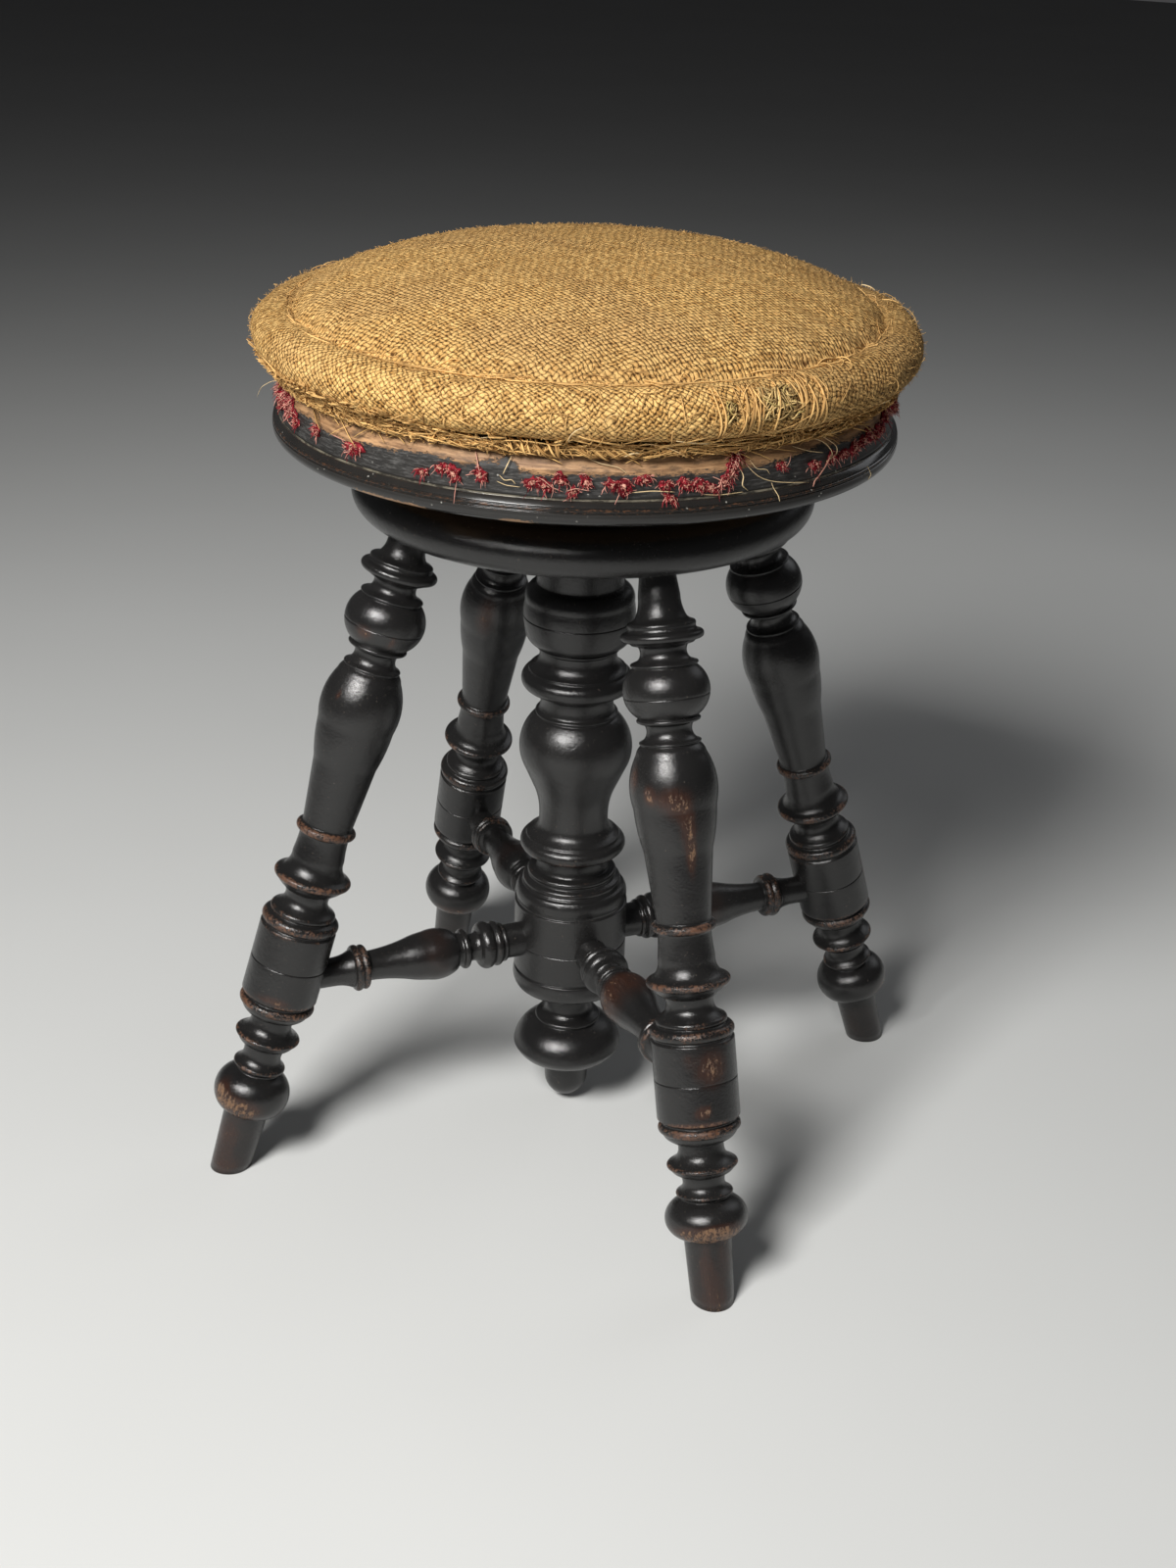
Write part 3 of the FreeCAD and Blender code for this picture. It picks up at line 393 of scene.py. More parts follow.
def ebonised_wood():
    """Black stain and polish over hardwood, rubbed through to brown on the edges.

    The stored wear of each edge is broken up by coarse patches and fine specks of noise, so brown
    shows only in places. A second store, rub, first turns the black to a red brown wash, and in
    its middle opens small tan specks. Grain is noise drawn out along the turning's own axis.
    """
    shade = Shade("ebonised_wood")
    own = shade.attribute("lathe", vector=True)
    grain = shade.noise(shade.stretched(own, (1.0, 1.0, 0.08)), 800, 4)
    pores = shade.noise(shade.stretched(own, (1.0, 1.0, 0.35)), 1500, 3, 0.6)
    patches = shade.noise(own, 75, 4, 0.6)
    specks = shade.noise(own, 620, 5, 0.75)
    smoke = shade.noise(own, 26, 4, 0.65)
    coarse = shade.step(patches, 0.4, 0.62)
    fine = shade.step(specks, 0.4, 0.64)
    broken = shade.times_plus(coarse, 0.5, shade.times(fine, 0.5))
    worn = shade.step(shade.times(shade.attribute("wear"), broken), 0.18, 0.7)
    rub = shade.attribute("rub")
    patchy = shade.times_plus(patches, 1.1, 0.25)
    wash = shade.step(shade.times(rub, patchy), 0.12, 0.72)
    crumbs = shade.noise(shade.stretched(own, (1.0, 1.0, 0.42)), 500, 6, 0.82)
    open_grain = shade.times_plus(coarse, 0.2, shade.times_plus(crumbs, 2.6, -0.85))
    bare = shade.step(shade.times(rub, open_grain), 0.52, 0.78)
    nick = shade.step(shade.noise(own, 640, 3, 0.6), 0.66, 0.74)
    black = shade.blend(smoke, (0.007, 0.0071, 0.0075, 1), (0.018, 0.0172, 0.0165, 1))
    reddish = shade.blend(grain, (0.022, 0.009, 0.006, 1), (0.052, 0.022, 0.014, 1))
    brown = shade.blend(fine, (0.06, 0.026, 0.015, 1), (0.17, 0.083, 0.047, 1))
    tan = shade.blend(grain, (0.11, 0.052, 0.024, 1), (0.3, 0.17, 0.088, 1))
    colour = shade.blend(shade.times(nick, 0.5), black, (0.13, 0.105, 0.085, 1))
    colour = shade.blend(shade.times(wash, 0.85), colour, reddish)
    colour = shade.blend(shade.times(worn, 0.85), colour, brown)
    colour = shade.blend(shade.times(bare, 0.9), colour, tan)
    gloss = shade.times_plus(smoke, 0.2, shade.times_plus(specks, 0.28, -0.02))
    roughness = shade.times_plus(shade.most(worn, bare), 0.14, gloss)
    relief = shade.times_plus(grain, 0.4, shade.times(pores, 0.6))
    sunk = shade.minus(patches, shade.times(shade.most(worn, bare), 0.4))
    dents = shade.bump(shade.times_plus(specks, 0.5, sunk), 0.0006, 0.6)
    normal = shade.bump(relief, 0.00014, 0.6, dents)
    return shade.finish(colour, roughness, normal, Specular_IOR_Level=0.55)


wood = ebonised_wood()
leg_place, leg_radius, leg_wear = turned_outline(LEG_ROWS, LEG_SCRIBES)
leg_slant = 1 / math.cos(LEG_LEAN)


def add_turning(name, mesh, own, shift, wear, rub, finish, body, node):
    """Puts a turning in the scene in place of its node, with what its finish reads stored on it.

    That is each point's place in the lathe, the wear of each row, and how far it is rubbed. The
    shift moves the place within the finish's noise, so that no two turnings are marked alike.
    """
    store(mesh, "lathe", (own.reshape(-1, 3) + shift) * MM)
    store(mesh, "wear", np.repeat(wear, own.shape[1]))
    store(mesh, "rub", np.broadcast_to(rub, own.shape[:2]).ravel())
    add_piece(name, mesh, finish, body, "ebonised_wood", node)


def level_sole(points, axis):
    """Slides each point of the lowest stretch along the leg's axis so that the first row is level.

    A point's slide is what its own line of wood needs to meet the floor, fading out up the peg.
    """
    slide = -points[0, :, 2] / axis[2]
    fade = np.clip(1 - (leg_place * leg_slant) / LEG_SOLE_BLEND, 0, 1)
    return points + (fade[:, None] * slide)[..., None] * axis


def blotch(angle, place, middle_angle, middle_place, wide, high):
    """How near each point is to a blotch, 1 at its middle: a Gaussian in angle and place."""
    apart = (angle - math.radians(middle_angle) + math.pi) % TURN - math.pi
    return np.exp(-((apart / math.radians(wide)) ** 2) - ((place - middle_place) / high) ** 2)


# (height, how worn the edges are there): the lower rings are the ones that feet have kicked
LEG_WEAR = [
    (0, 0.9), (57, 0.6), (75, 0.75), (100, 0.95), (125, 0.6), (150, 0.8), (156, 0.45), (168, 1.0),
    (176, 1.0), (190, 0.3), (201, 1.0), (208, 0.9), (225, 0.4), (300, 0.2), (380, 0.15),
]
# How much of that wear each leg shows
LEG_RUBBED = {"back_right": 0.85, "back_left": 0.62, "front_left": 1.0, "front_right": 1.0}
# How far each leg's turnings lie above the common pattern, in millimetres. The shift fades in
# over the ball foot and out below the tenon
LEG_SHIFTS = {"back_right": 0.0, "back_left": 0.0, "front_left": 4.5, "front_right": -5.0}
SHIFT_FROM = 32.0
SHIFT_FADE_IN = 45.0
SHIFT_TO = 384.0
SHIFT_FADE_OUT = 30.0
# How much thicker each leg is than the pattern
LEG_GIRTHS = {"back_right": 1.0, "back_left": 1.0, "front_left": 1.0, "front_right": 1.03}
# Bare patches: (angle round the leg, height, half width in degrees, half height)
LEG_BLOTCHES = {
    "front_right": [
        (243, 271, 24, 8), (212, 274, 9, 5), (180, 281, 12, 7), (262, 258, 13, 12), (268, 241, 9, 11),
        (270, 134, 26, 11), (250, 111.5, 12, 2.2), (256, 112.5, 7, 1.6), (236, 139, 9, 2.5),
        (246, 105, 40, 2), (246, 42, 80, 6), (226, 42, 24, 5), (262, 43, 24, 5), (250, 2, 40, 3),
        (238, 22, 12, 9), (262, 10, 16, 6), (292, 30, 16, 9),
    ],
    "front_left": [
        (318, 43, 45, 7), (330, 42, 24, 5), (286, 48, 16, 7), (300, 20, 26, 10), (312, 5, 34, 5),
        (312, 319, 15, 4.5), (356, 317, 6, 4), (300, 283, 5, 3), (330, 108, 30, 3),
    ],
    "back_right": [(230, 42, 45, 6), (240, 126, 10, 14)],
    "back_left": [(66, 42, 50, 5), (50, 280, 18, 12)],
}
# How brown the pegs are all over, up to the height where that fades out
PEG_WASH = 0.34
PEG_WASH_TOP = 38.0
PEG_WASH_FADE = 12.0
# (height, the most that patches which overlap count for there)
RUB_MOST = [(2.5, 0.95), (6, 0.6), (33, 0.6), (36, 1.22)]


def level_direction(degrees):
    """The level direction that points away from the middle at an angle: its cosine and sine."""
    return np.array([math.cos(math.radians(degrees)), math.sin(math.radians(degrees)), 0.0])


for name, angle in LEG_ANGLES.items():
    outwards = level_direction(angle)
    leg_axis = np.array([0, 0, 1.0]) * math.cos(LEG_LEAN) - outwards * math.sin(LEG_LEAN)
    tangent = np.array([-outwards[1], outwards[0], 0.0])
    fade_in = np.clip((leg_place - SHIFT_FROM) / SHIFT_FADE_IN, 0, 1)
    fade_out = np.clip((SHIFT_TO - leg_place) / SHIFT_FADE_OUT, 0, 1)
    shifted = leg_place + LEG_SHIFTS[name] * (fade_in * fade_out)
    points, own = turned_points(
        shifted * leg_slant, leg_radius * LEG_GIRTHS[name], LEG_SEGMENTS,
        outwards * LEG_FOOT_CIRCLE, leg_axis, tangent, waver=0.004, phase=angle,
    )
    points = level_sole(points, leg_axis)
    node = "leg_" + name
    leg_mesh = grid_mesh(node, points * MM, pole_start=True, pole_end=True)
    edges = leg_wear * np.interp(leg_place, *zip(*LEG_WEAR)) * LEG_RUBBED[name]
    around, height = np.meshgrid(full_turn(LEG_SEGMENTS), leg_place)
    rub = sum(blotch(around, height, *mark) for mark in LEG_BLOTCHES[name])
    rub = rub + PEG_WASH * np.clip((PEG_WASH_TOP - height) / PEG_WASH_FADE, 0, 1)
    rub = np.minimum(rub, np.interp(height, *zip(*RUB_MOST)))
    add_turning(
        node + "_turning", leg_mesh, own, shift=(angle * 3, 0, angle), wear=edges, rub=rub,
        finish=wood, body="base", node=node,
    )


# Centre column. One turning from its collar under the head disc down to a drop finial that
# clears the floor. It is bored from the top for the iron screw, and its plain block takes the
# four stretchers.
COLUMN_SEGMENTS = 112
COLUMN_ROWS = [
    (2.6, 0.0, 0.2), (17.0, 13.0, 0), (30.6, 13.4, 0), (31.2, 15.6, 0), (31.8, 18.0, 0.176),
    (41.2, 32.4, 0.15), (57.0, 19.2, 0), (57.4, 18.4, 0), (57.8, 18.5, 0.4), (60.6, 18.2, 0),
    (61.2, 16.6, -0.16), (67.0, 12.8, 0), (71.5, 13.0, -0.2), (81.2, 25.6, 0), (82.4, 29.0, 0),
    (83.3, 31.4, 0.13), (94.2, 32.9, 0), (94.7, 31.8, 0), (95.7, 31.8, 0), (96.3, 33.2, 0),
    (138.8, 33.2, 0), (139.4, 32.0, 0), (140.8, 31.9, 0), (141.3, 32.1, 0.14), (149.8, 30.8, 0),
    (150.3, 29.2, 0), (151.4, 28.8, 0), (151.8, 28.3, 0.28), (155.2, 27.0, 0), (155.8, 25.7, 0),
    (157.0, 25.4, 0.36), (160.2, 24.0, 0), (160.8, 21.2, -0.12), (169.0, 20.4, 0), (170.2, 23.4, 0),
    (172.2, 26.8, 0), (172.6, 27.6, 0.33), (181.0, 28.2, 0), (181.5, 27.4, 0), (182.8, 26.9, 0),
    (183.2, 25.6, -0.16), (191.0, 20.0, 0), (197.0, 20.0, -0.04), (212.0, 23.2, 0),
    (226.0, 29.4, 0.17), (257.4, 24.0, 0), (258.0, 22.9, 0), (258.6, 22.9, 0.4), (260.4, 22.8, 0),
    (260.9, 21.8, -0.12), (271.0, 22.2, 0), (272.2, 24.8, 0), (274.0, 27.8, 0), (274.4, 28.4, 0.33),
    (284.6, 28.8, 0), (285.1, 28.0, 0), (286.6, 27.6, 0), (287.0, 26.4, -0.16), (296.6, 22.0, 0),
    (297.8, 22.0, 0), (298.4, 22.7, 0.4), (300.8, 23.0, 0), (301.1, 24.4, 0.16),
    (309.0, 30.3, 0.06), (327.0, 30.6, 0.2), (336.4, 25.0, 0), (337.2, 24.2, 0),
    (362.0, 24.2, -0.1), (365.0, 27.4, 0), (366.4, 29.3, 0), (379.9, 29.3, 0), (379.9, 19.9, 0),
    (389.9, 19.9, 0), (389.9, 15.0, 0), (263.9, 15.0, 0), (263.9, 0.0, 0),
]
COLUMN_SCRIBES = [(114.2, 0.4), (318.0, 0.4), (376.0, 0.3), (369.0, 0.3)]
COLUMN_WEAR = [(0, 0.25), (95, 0.3), (160, 0.3), (170, 0.75), (176, 0.75), (179, 0.2), (390, 0.15)]
# The front of the ring above the block is rubbed brown
COLUMN_BLOTCH = (-70, 172.5, 40, 2.5)

column_place, column_radius, column_wear = turned_outline(COLUMN_ROWS, COLUMN_SCRIBES)
points, own = turned_points(
    column_place[1:-1], column_radius[1:-1], COLUMN_SEGMENTS, (0, 0, 0), (0, 0, 1), (1, 0, 0), waver=0.002
)
column_mesh = grid_mesh("centre_column", points * MM, pole_start=True, pole_end=True)
edges = (column_wear * np.interp(column_place, *zip(*COLUMN_WEAR)))[1:-1]
around, height = np.meshgrid(full_turn(COLUMN_SEGMENTS), column_place[1:-1])
rub = 0.9 * blotch(around, height, *COLUMN_BLOTCH)
add_turning(
    "column_turning", column_mesh, own, shift=(0, 0, 0), wear=edges, rub=rub,
    finish=wood, body="base", node="centre_column",
)


# Stretchers. Four small turnings, level, each glued at one end into the column's block and at
# the other into a leg's block: beads, a slender vase and a double bead near the leg.
STRETCHER_HEIGHT = 116.5
STRETCHER_SEGMENTS = 56
STRETCHER_ROWS = [
    (21.0, 10.1, 0), (42.0, 10.1, 0), (42.5, 10.2, 0.4), (45.4, 10.6, 0), (46.0, 11.6, 0.33),
    (50.3, 12.2, 0), (50.9, 12.3, 0.25), (58.4, 12.0, 0), (59.2, 9.2, -0.16), (65.2, 8.6, 0),
    (65.8, 10.0, 0.45), (69.8, 10.0, 0), (70.4, 9.7, 0), (73.0, 9.8, 0), (73.6, 11.5, 0.11),
    (91.8, 14.1, 0.03), (103.0, 11.9, -0.03), (126.4, 8.6, 0), (127.2, 10.6, 0.4), (130.9, 12.1, 0),
    (131.2, 12.3, 0.33), (135.8, 11.4, 0), (136.4, 10.7, 0), (137.6, 10.5, 0), (138.0, 10.1, -0.05),
    (147.0, 8.3, 0), (164.0, 8.1, 0),
]
# The double bead near the leg is the most worn; the vase is rubbed brown round its fullest part
STRETCHER_WEAR = [(60, 0.3), (124, 0.3), (128, 0.55)]
VASE_MIDDLE = 88.0
VASE_HALF_LENGTH = 14.0
VASE_RUBBED = {"back_right": 0.4, "back_left": 0.4, "front_left": 0.4, "front_right": 0.8}

stretcher_place, stretcher_radius, stretcher_wear = turned_outline(STRETCHER_ROWS, softness=0.22)
stretcher_wear = stretcher_wear * np.interp(stretcher_place, *zip(*STRETCHER_WEAR))
for name, angle in LEG_ANGLES.items():
    points, own = turned_points(
        stretcher_place, stretcher_radius, STRETCHER_SEGMENTS, (0, 0, STRETCHER_HEIGHT),
        level_direction(angle), (0, 0, 1), waver=0.004, phase=angle,
    )
    node = "stretcher_" + name
    stretcher_mesh = grid_mesh(node, points * MM, pole_start=True, pole_end=True)
    rub = np.exp(-(((stretcher_place - VASE_MIDDLE) / VASE_HALF_LENGTH) ** 2)) * VASE_RUBBED[name]
    add_turning(
        node + "_turning", stretcher_mesh, own, shift=(angle, 0, 0), wear=stretcher_wear,
        rub=rub[:, None], finish=wood, body="base", node=node,
    )


# Head disc. A thick disc with a full round edge, polished black like the legs. It holds the
# legs' tenons and the column's spigot, and the iron nut is let into its top.
HEAD_SEGMENTS = 192
HEAD_WEAR = 0.5
HEAD_ROWS = [
    (380.0, 20.1, 0), (380.0, 113.2, 0), (381.6, 118.2, 0.34), (403.6, 118.2, 0), (405.2, 113.2, 0),
    (405.2, 30.1, 0), (403.2, 30.1, 0), (403.2, 16.1, 0), (390.1, 16.1, 0), (390.1, 20.1, 0),
    (380.2, 20.1, 0),
]
head_place, head_radius, head_wear = turned_outline(HEAD_ROWS, softness=0.2, longest=9.0, turn_step=0.12)
points, own = turned_points(head_place, head_radius, HEAD_SEGMENTS, (0, 0, 0), (0, 0, 1), (1, 0, 0))
head_mesh = grid_mesh("head_disc", points * MM, closed_along=True)
add_turning(
    "head_disc_turning", head_mesh, own, shift=(500, 0, 0), wear=head_wear * HEAD_WEAR, rub=0.0,
    finish=wood, body="base", node="head_disc",
)


# Seat rim. A turned hoop stained black: a rounded moulding with fine reeds at the bottom, a pale
# line, a plain band scraped by old tacks, and a bevel of bare pale wood where the covers went.
RIM_SEGMENTS = 288
RIM_WEAR = 0.75
# The level where the black ends, in millimetres. In metres: the levels over which the scraped
# band sets in and ends, those of the pale line below it, and those over which the polish ends
RIM_BLACK_TOP = 450.4
BAND_LEVELS = (0.4375, 0.439, 0.45, 0.452)
LINE_LEVELS = (0.43630, 0.43655, 0.43715, 0.43745)
DULL_LEVELS = (0.4475, 0.4495)
# Rubbed patches: (angle round the seat, height, half width in degrees, half height)
RIM_BLOTCHES = [
    (253.6, 424.6, 6, 3), (262, 424.4, 4, 2.4), (281, 424.8, 4, 2.2), (60, 424.5, 8, 3), (150, 425, 6, 3),
]
# (angle, half width in degrees, how much lower the bare wood reaches there, in millimetres)
RIM_BARED = [
    (271.0, 4.0, 2.6), (284.0, 5.5, 3.0), (279.2, 1.1, -3.2), (246.0, 3.0, 1.2), (300.0, 12.0, 0.8),
]
RIM_ROWS = [
    (423.3, 125.2, 0), (423.3, 160.2, 0), (424.4, 162.8, 0.2), (430.0, 166.3, 0), (430.9, 166.4, 0),
    (431.2, 165.7, 0), (431.6, 165.7, 0), (431.9, 166.3, 0), (432.9, 166.1, 0), (433.2, 165.4, 0),
    (433.6, 165.4, 0), (433.9, 165.9, 0), (435.4, 164.6, 0), (436.2, 163.9, 0), (436.5, 163.1, 0),
    (437.1, 163.0, 0), (437.4, 163.0, 0), (437.8, 162.8, 0), (450.6, 162.6, 0), (457.3, 159.4, 0),
    (457.3, 125.2, 0), (423.4, 125.2, 0),
]
rim_place, rim_radius, rim_wear = turned_outline(RIM_ROWS, softness=0.16, longest=3.0, turn_step=0.3)
points, own = turned_points(rim_place, rim_radius, RIM_SEGMENTS, (0, 0, 0), (0, 0, 1), (1, 0, 0))
rim_mesh = grid_mesh("seat_rim", points * MM, closed_along=True)
rim_angle, rim_height = np.meshgrid(full_turn(RIM_SEGMENTS), rim_place)
rub = np.clip(sum(blotch(rim_angle, rim_height, *mark) for mark in RIM_BLOTCHES), 0, 1) * 1.1
bared = sum(blotch(rim_angle, 0 * rim_height, angle, 0, wide, 1) * deep for angle, wide, deep in RIM_BARED)
store(rim_mesh, "bared", (bared * MM).ravel())


def rim_finish():
    """The legs' black, with a ragged top edge, scrapes on the band, and bare wood above it.

    Height in the rim's own frame decides between black and bare wood, shifted by noise drawn out
    round the rim and by the stored reach of the bare wood. Scrapes are thin streaks of noise
    within the band's height.
    """
    shade = Shade("rim_finish")
    own = shade.attribute("lathe", vector=True)
    split = shade.split(own)
    height = split[2]
    band_foot, band_from, band_to, band_top = BAND_LEVELS
    line_foot, line_from, line_to, line_top = LINE_LEVELS
    along = shade.stretched(own, (1.0, 1.0, 3.5))
    ragged = shade.noise(along, 95, 5, 0.68)
    fine = shade.noise(along, 420, 4, 0.7)
    sweep = shade.noise(shade.stretched(own, (1.0, 1.0, 2.0)), 13, 3, 0.55)
    edge = shade.plus(height, shade.times(shade.minus(ragged, 0.5), 0.009))
    edge = shade.plus(edge, shade.times(shade.minus(sweep, 0.5), 0.016))
    edge = shade.plus(edge, shade.times(shade.minus(fine, 0.5), 0.008))
    edge = shade.plus(edge, shade.attribute("bared"))
    bare = shade.step(edge, (RIM_BLACK_TOP - 0.5) * MM, (RIM_BLACK_TOP + 0.5) * MM)
    on_band = shade.times(shade.step(height, band_foot, band_from), shade.step(height, band_top, band_to))
    streaks = shade.noise(shade.stretched(own, (1.0, 1.0, 9.0)), 130, 5, 0.75)
    scraped = shade.times(shade.step(streaks, 0.47, 0.68), on_band)
    worn = shade.step(shade.plus(shade.times(shade.attribute("wear"), 0.4), fine), 0.78, 0.95)
    rubbed = shade.step(shade.plus(shade.times(shade.attribute("rub"), 0.55), fine), 0.83, 0.92)
    pinstripe = shade.times(shade.step(height, line_foot, line_from), shade.step(height, line_top, line_to))
    pale_line = shade.times(pinstripe, shade.step(ragged, 0.42, 0.6, 0.1, 0.9))
    dots = shade.nodes.new("ShaderNodeTexVoronoi")
    dots.inputs["Scale"].default_value = 230
    shade.join(own, dots.inputs["Vector"])
    fleck = shade.step(dots.outputs["Distance"], 0.16, 0.1)
    fleck = shade.times(fleck, shade.step(ragged, 0.5, 0.62))
    smoke = shade.noise(own, 30, 3, 0.6)
    black = shade.blend(smoke, (0.009, 0.0085, 0.008, 1), (0.024, 0.022, 0.02, 1))
    grey = shade.blend(fine, (0.05, 0.05, 0.05, 1), (0.17, 0.165, 0.155, 1))
    brown = shade.blend(fine, (0.06, 0.025, 0.012, 1), (0.15, 0.07, 0.035, 1))
    tan = shade.blend(fine, (0.24, 0.12, 0.05, 1), (0.5, 0.3, 0.16, 1))
    wood_grain = shade.noise(shade.stretched(own, (1.0, 1.0, 14.0)), 45, 5, 0.7)
    pale = shade.blend(shade.step(wood_grain, 0.3, 0.7), (0.17, 0.085, 0.036, 1), (0.5, 0.29, 0.14, 1))
    pale = shade.blend(shade.step(ragged, 0.48, 0.66, 0.0, 0.68), pale, (0.045, 0.026, 0.014, 1))
    colour = shade.blend(shade.times(scraped, 0.85), black, grey)
    colour = shade.blend(shade.times(worn, 0.8), colour, brown)
    colour = shade.blend(rubbed, colour, tan)
    colour = shade.blend(shade.times(pale_line, 0.6), colour, (0.3, 0.27, 0.2, 1))
    colour = shade.blend(shade.times(fleck, 0.6), colour, (0.55, 0.53, 0.48, 1))
    colour = shade.blend(bare, colour, pale)
    dull = shade.most(shade.most(bare, scraped), rubbed)
    roughness = shade.plus(shade.times(smoke, 0.12), shade.times(dull, 0.32))
    roughness = shade.plus(roughness, shade.times_plus(on_band, 0.33, 0.1))
    roughness = shade.most(roughness, shade.step(height, *DULL_LEVELS, 0.0, 0.62))
    faint = shade.times(fine, shade.times_plus(on_band, 0.28, 0.12))
    relief = shade.plus(shade.times(streaks, on_band), faint)
    relief = shade.minus(relief, shade.times(bare, 0.8))
    return shade.finish(colour, roughness, shade.bump(relief, 0.0004, 0.6), Specular_IOR_Level=0.5)


add_turning(
    "seat_rim_turning", rim_mesh, own, shift=(0, 500, 0), wear=rim_wear * RIM_WEAR, rub=rub,
    finish=rim_finish(), body="seat", node="seat_hoop",
)


# Edge roll. A bias strip of hessian stitched over straw to a firm roll that hangs over the rim.
# It is lumpy by hand, its lower edge is turned under to a ropey hem, and it has burst in two
# places at the front, where the straw shows.
ROLL_SEGMENTS = 900
ROLL_ROWS = 92
ROLL_RADIUS = 160.6
ROLL_HEIGHT = 477.9
ROLL_HALF_WIDTH = 15.3
ROLL_HALF_HEIGHT = 12.9
ROLL_FIRST_ANGLE = -146.0
ROLL_LAST_ANGLE = 130.0
BACK = math.radians(90)


def swings(angle, strongest, count, seed):
    """A smooth uneven line round the seat: a sum of sines whose sizes fall with their number."""
    chance = np.random.default_rng(seed)
    total = np.zeros_like(angle)
    for number in range(2, count + 2):
        total += chance.normal() / number**0.6 * np.sin(number * angle + chance.uniform(0, TURN))
    return strongest * total / 2.0


def lumps(angle, along, strongest, count, seed):
    """Soft lumps over a ring: sines across and round it, summed with falling sizes."""
    chance = np.random.default_rng(seed)
    total = np.zeros(np.broadcast(angle, along).shape)
    for _ in range(count):
        number = chance.integers(5, 60)
        slope = chance.uniform(-4, 4)
        size = chance.normal() * (8 / (number + 8))
        total += size * np.sin(number * angle + slope * along + chance.uniform(0, TURN))
    return strongest * total / math.sqrt(count)


# Where the strip has burst: (angle round the seat, angle round the section, half sizes of both)
BURSTS = [(323.4, 24.0, 3.9, 35.0), (314.8, 14.0, 1.1, 22.0)]
BURST_DEPTH = 1.8


def burst_share(angle, section):
    """1 inside a burst and 0 outside, with a soft edge: a rounded rectangle in both angles."""
    inside = np.zeros(np.broadcast(angle, section).shape)
    for middle, level, wide, high in BURSTS:
        off = (np.degrees(angle) - middle + 180) % 360 - 180
        ragged = 1 + 0.22 * np.sin(9 * section + middle) + 0.14 * np.sin(21 * section)
        size = (np.abs(off) / (wide * ragged)) ** 3 + (np.abs(np.degrees(section) - level) / high) ** 4
        inside = np.maximum(inside, np.clip(1.5 - size, 0, 1))
    return inside


def stand_round(out, angle, level):
    """Points at a distance from the stool's upright axis, at an angle round it and at a level."""
    return np.stack([out * np.cos(angle), out * np.sin(angle), level], -1)


def roll_points(angle, section, lift=0.0):
    """Points on the roll, in millimetres, for an angle round the seat and one round its section.

    The section is an ellipse, 0 at its outermost point and a quarter turn at its top, whose
    middle wanders and whose radius swells and shrinks a little round the seat.
    """
    swell = 1 + swings(angle, 0.03, 14, 3)
    uneven = lumps(angle, section, 0.75, 60, 5) + lift
    radius = ROLL_RADIUS + swings(angle, 0.4, 9, 11)
    radius = radius + (ROLL_HALF_WIDTH * swell + uneven) * np.cos(section)
    height = ROLL_HEIGHT + swings(angle, 0.3, 10, 13)
    height = height + (ROLL_HALF_HEIGHT * swell + uneven) * np.sin(section)
    return stand_round(radius, angle, height)


def map_cloth(mesh, across, along, closed_along=False):
    """Lays a map of the cloth, in metres, over the faces of a grid mesh, corner by corner.

    The two arrays have one column more than the mesh, so the map goes on over the join.
    """
    pair = np.stack([across, along], -1)
    if closed_along:
        pair = np.concatenate([pair, pair[:1]])
    corners = np.stack([pair[:-1, :-1], pair[:-1, 1:], pair[1:, 1:], pair[1:, :-1]], 2).reshape(-1, 2)
    spare = np.zeros((len(mesh.loops) - len(corners), 2))
    layer = mesh.uv_layers.new(name="cloth")
    layer.data.foreach_set("uv", np.concatenate([corners, spare]).astype(np.float32).ravel())


def bias_map(angle, section, mean_radius, section_radius):
    """Cloth coordinates in metres of a bias strip sewn round the seat.

    The strip's threads lean more upright towards the right of the front, so the distance along
    each set of threads is a running sum of the cosine or sine of that lean.
    """
    lean = np.radians(45 + 24 * np.exp(-(((np.degrees(angle) % 360 - 335) / 26) ** 2)))
    step = np.diff(angle, axis=1, prepend=angle[:, :1]) * mean_radius * MM
    first = np.cumsum(np.cos(lean) * step, 1) + section * section_radius * MM * np.sin(lean)
    second = -np.cumsum(np.sin(lean) * step, 1) + section * section_radius * MM * np.cos(lean)
    return first, second


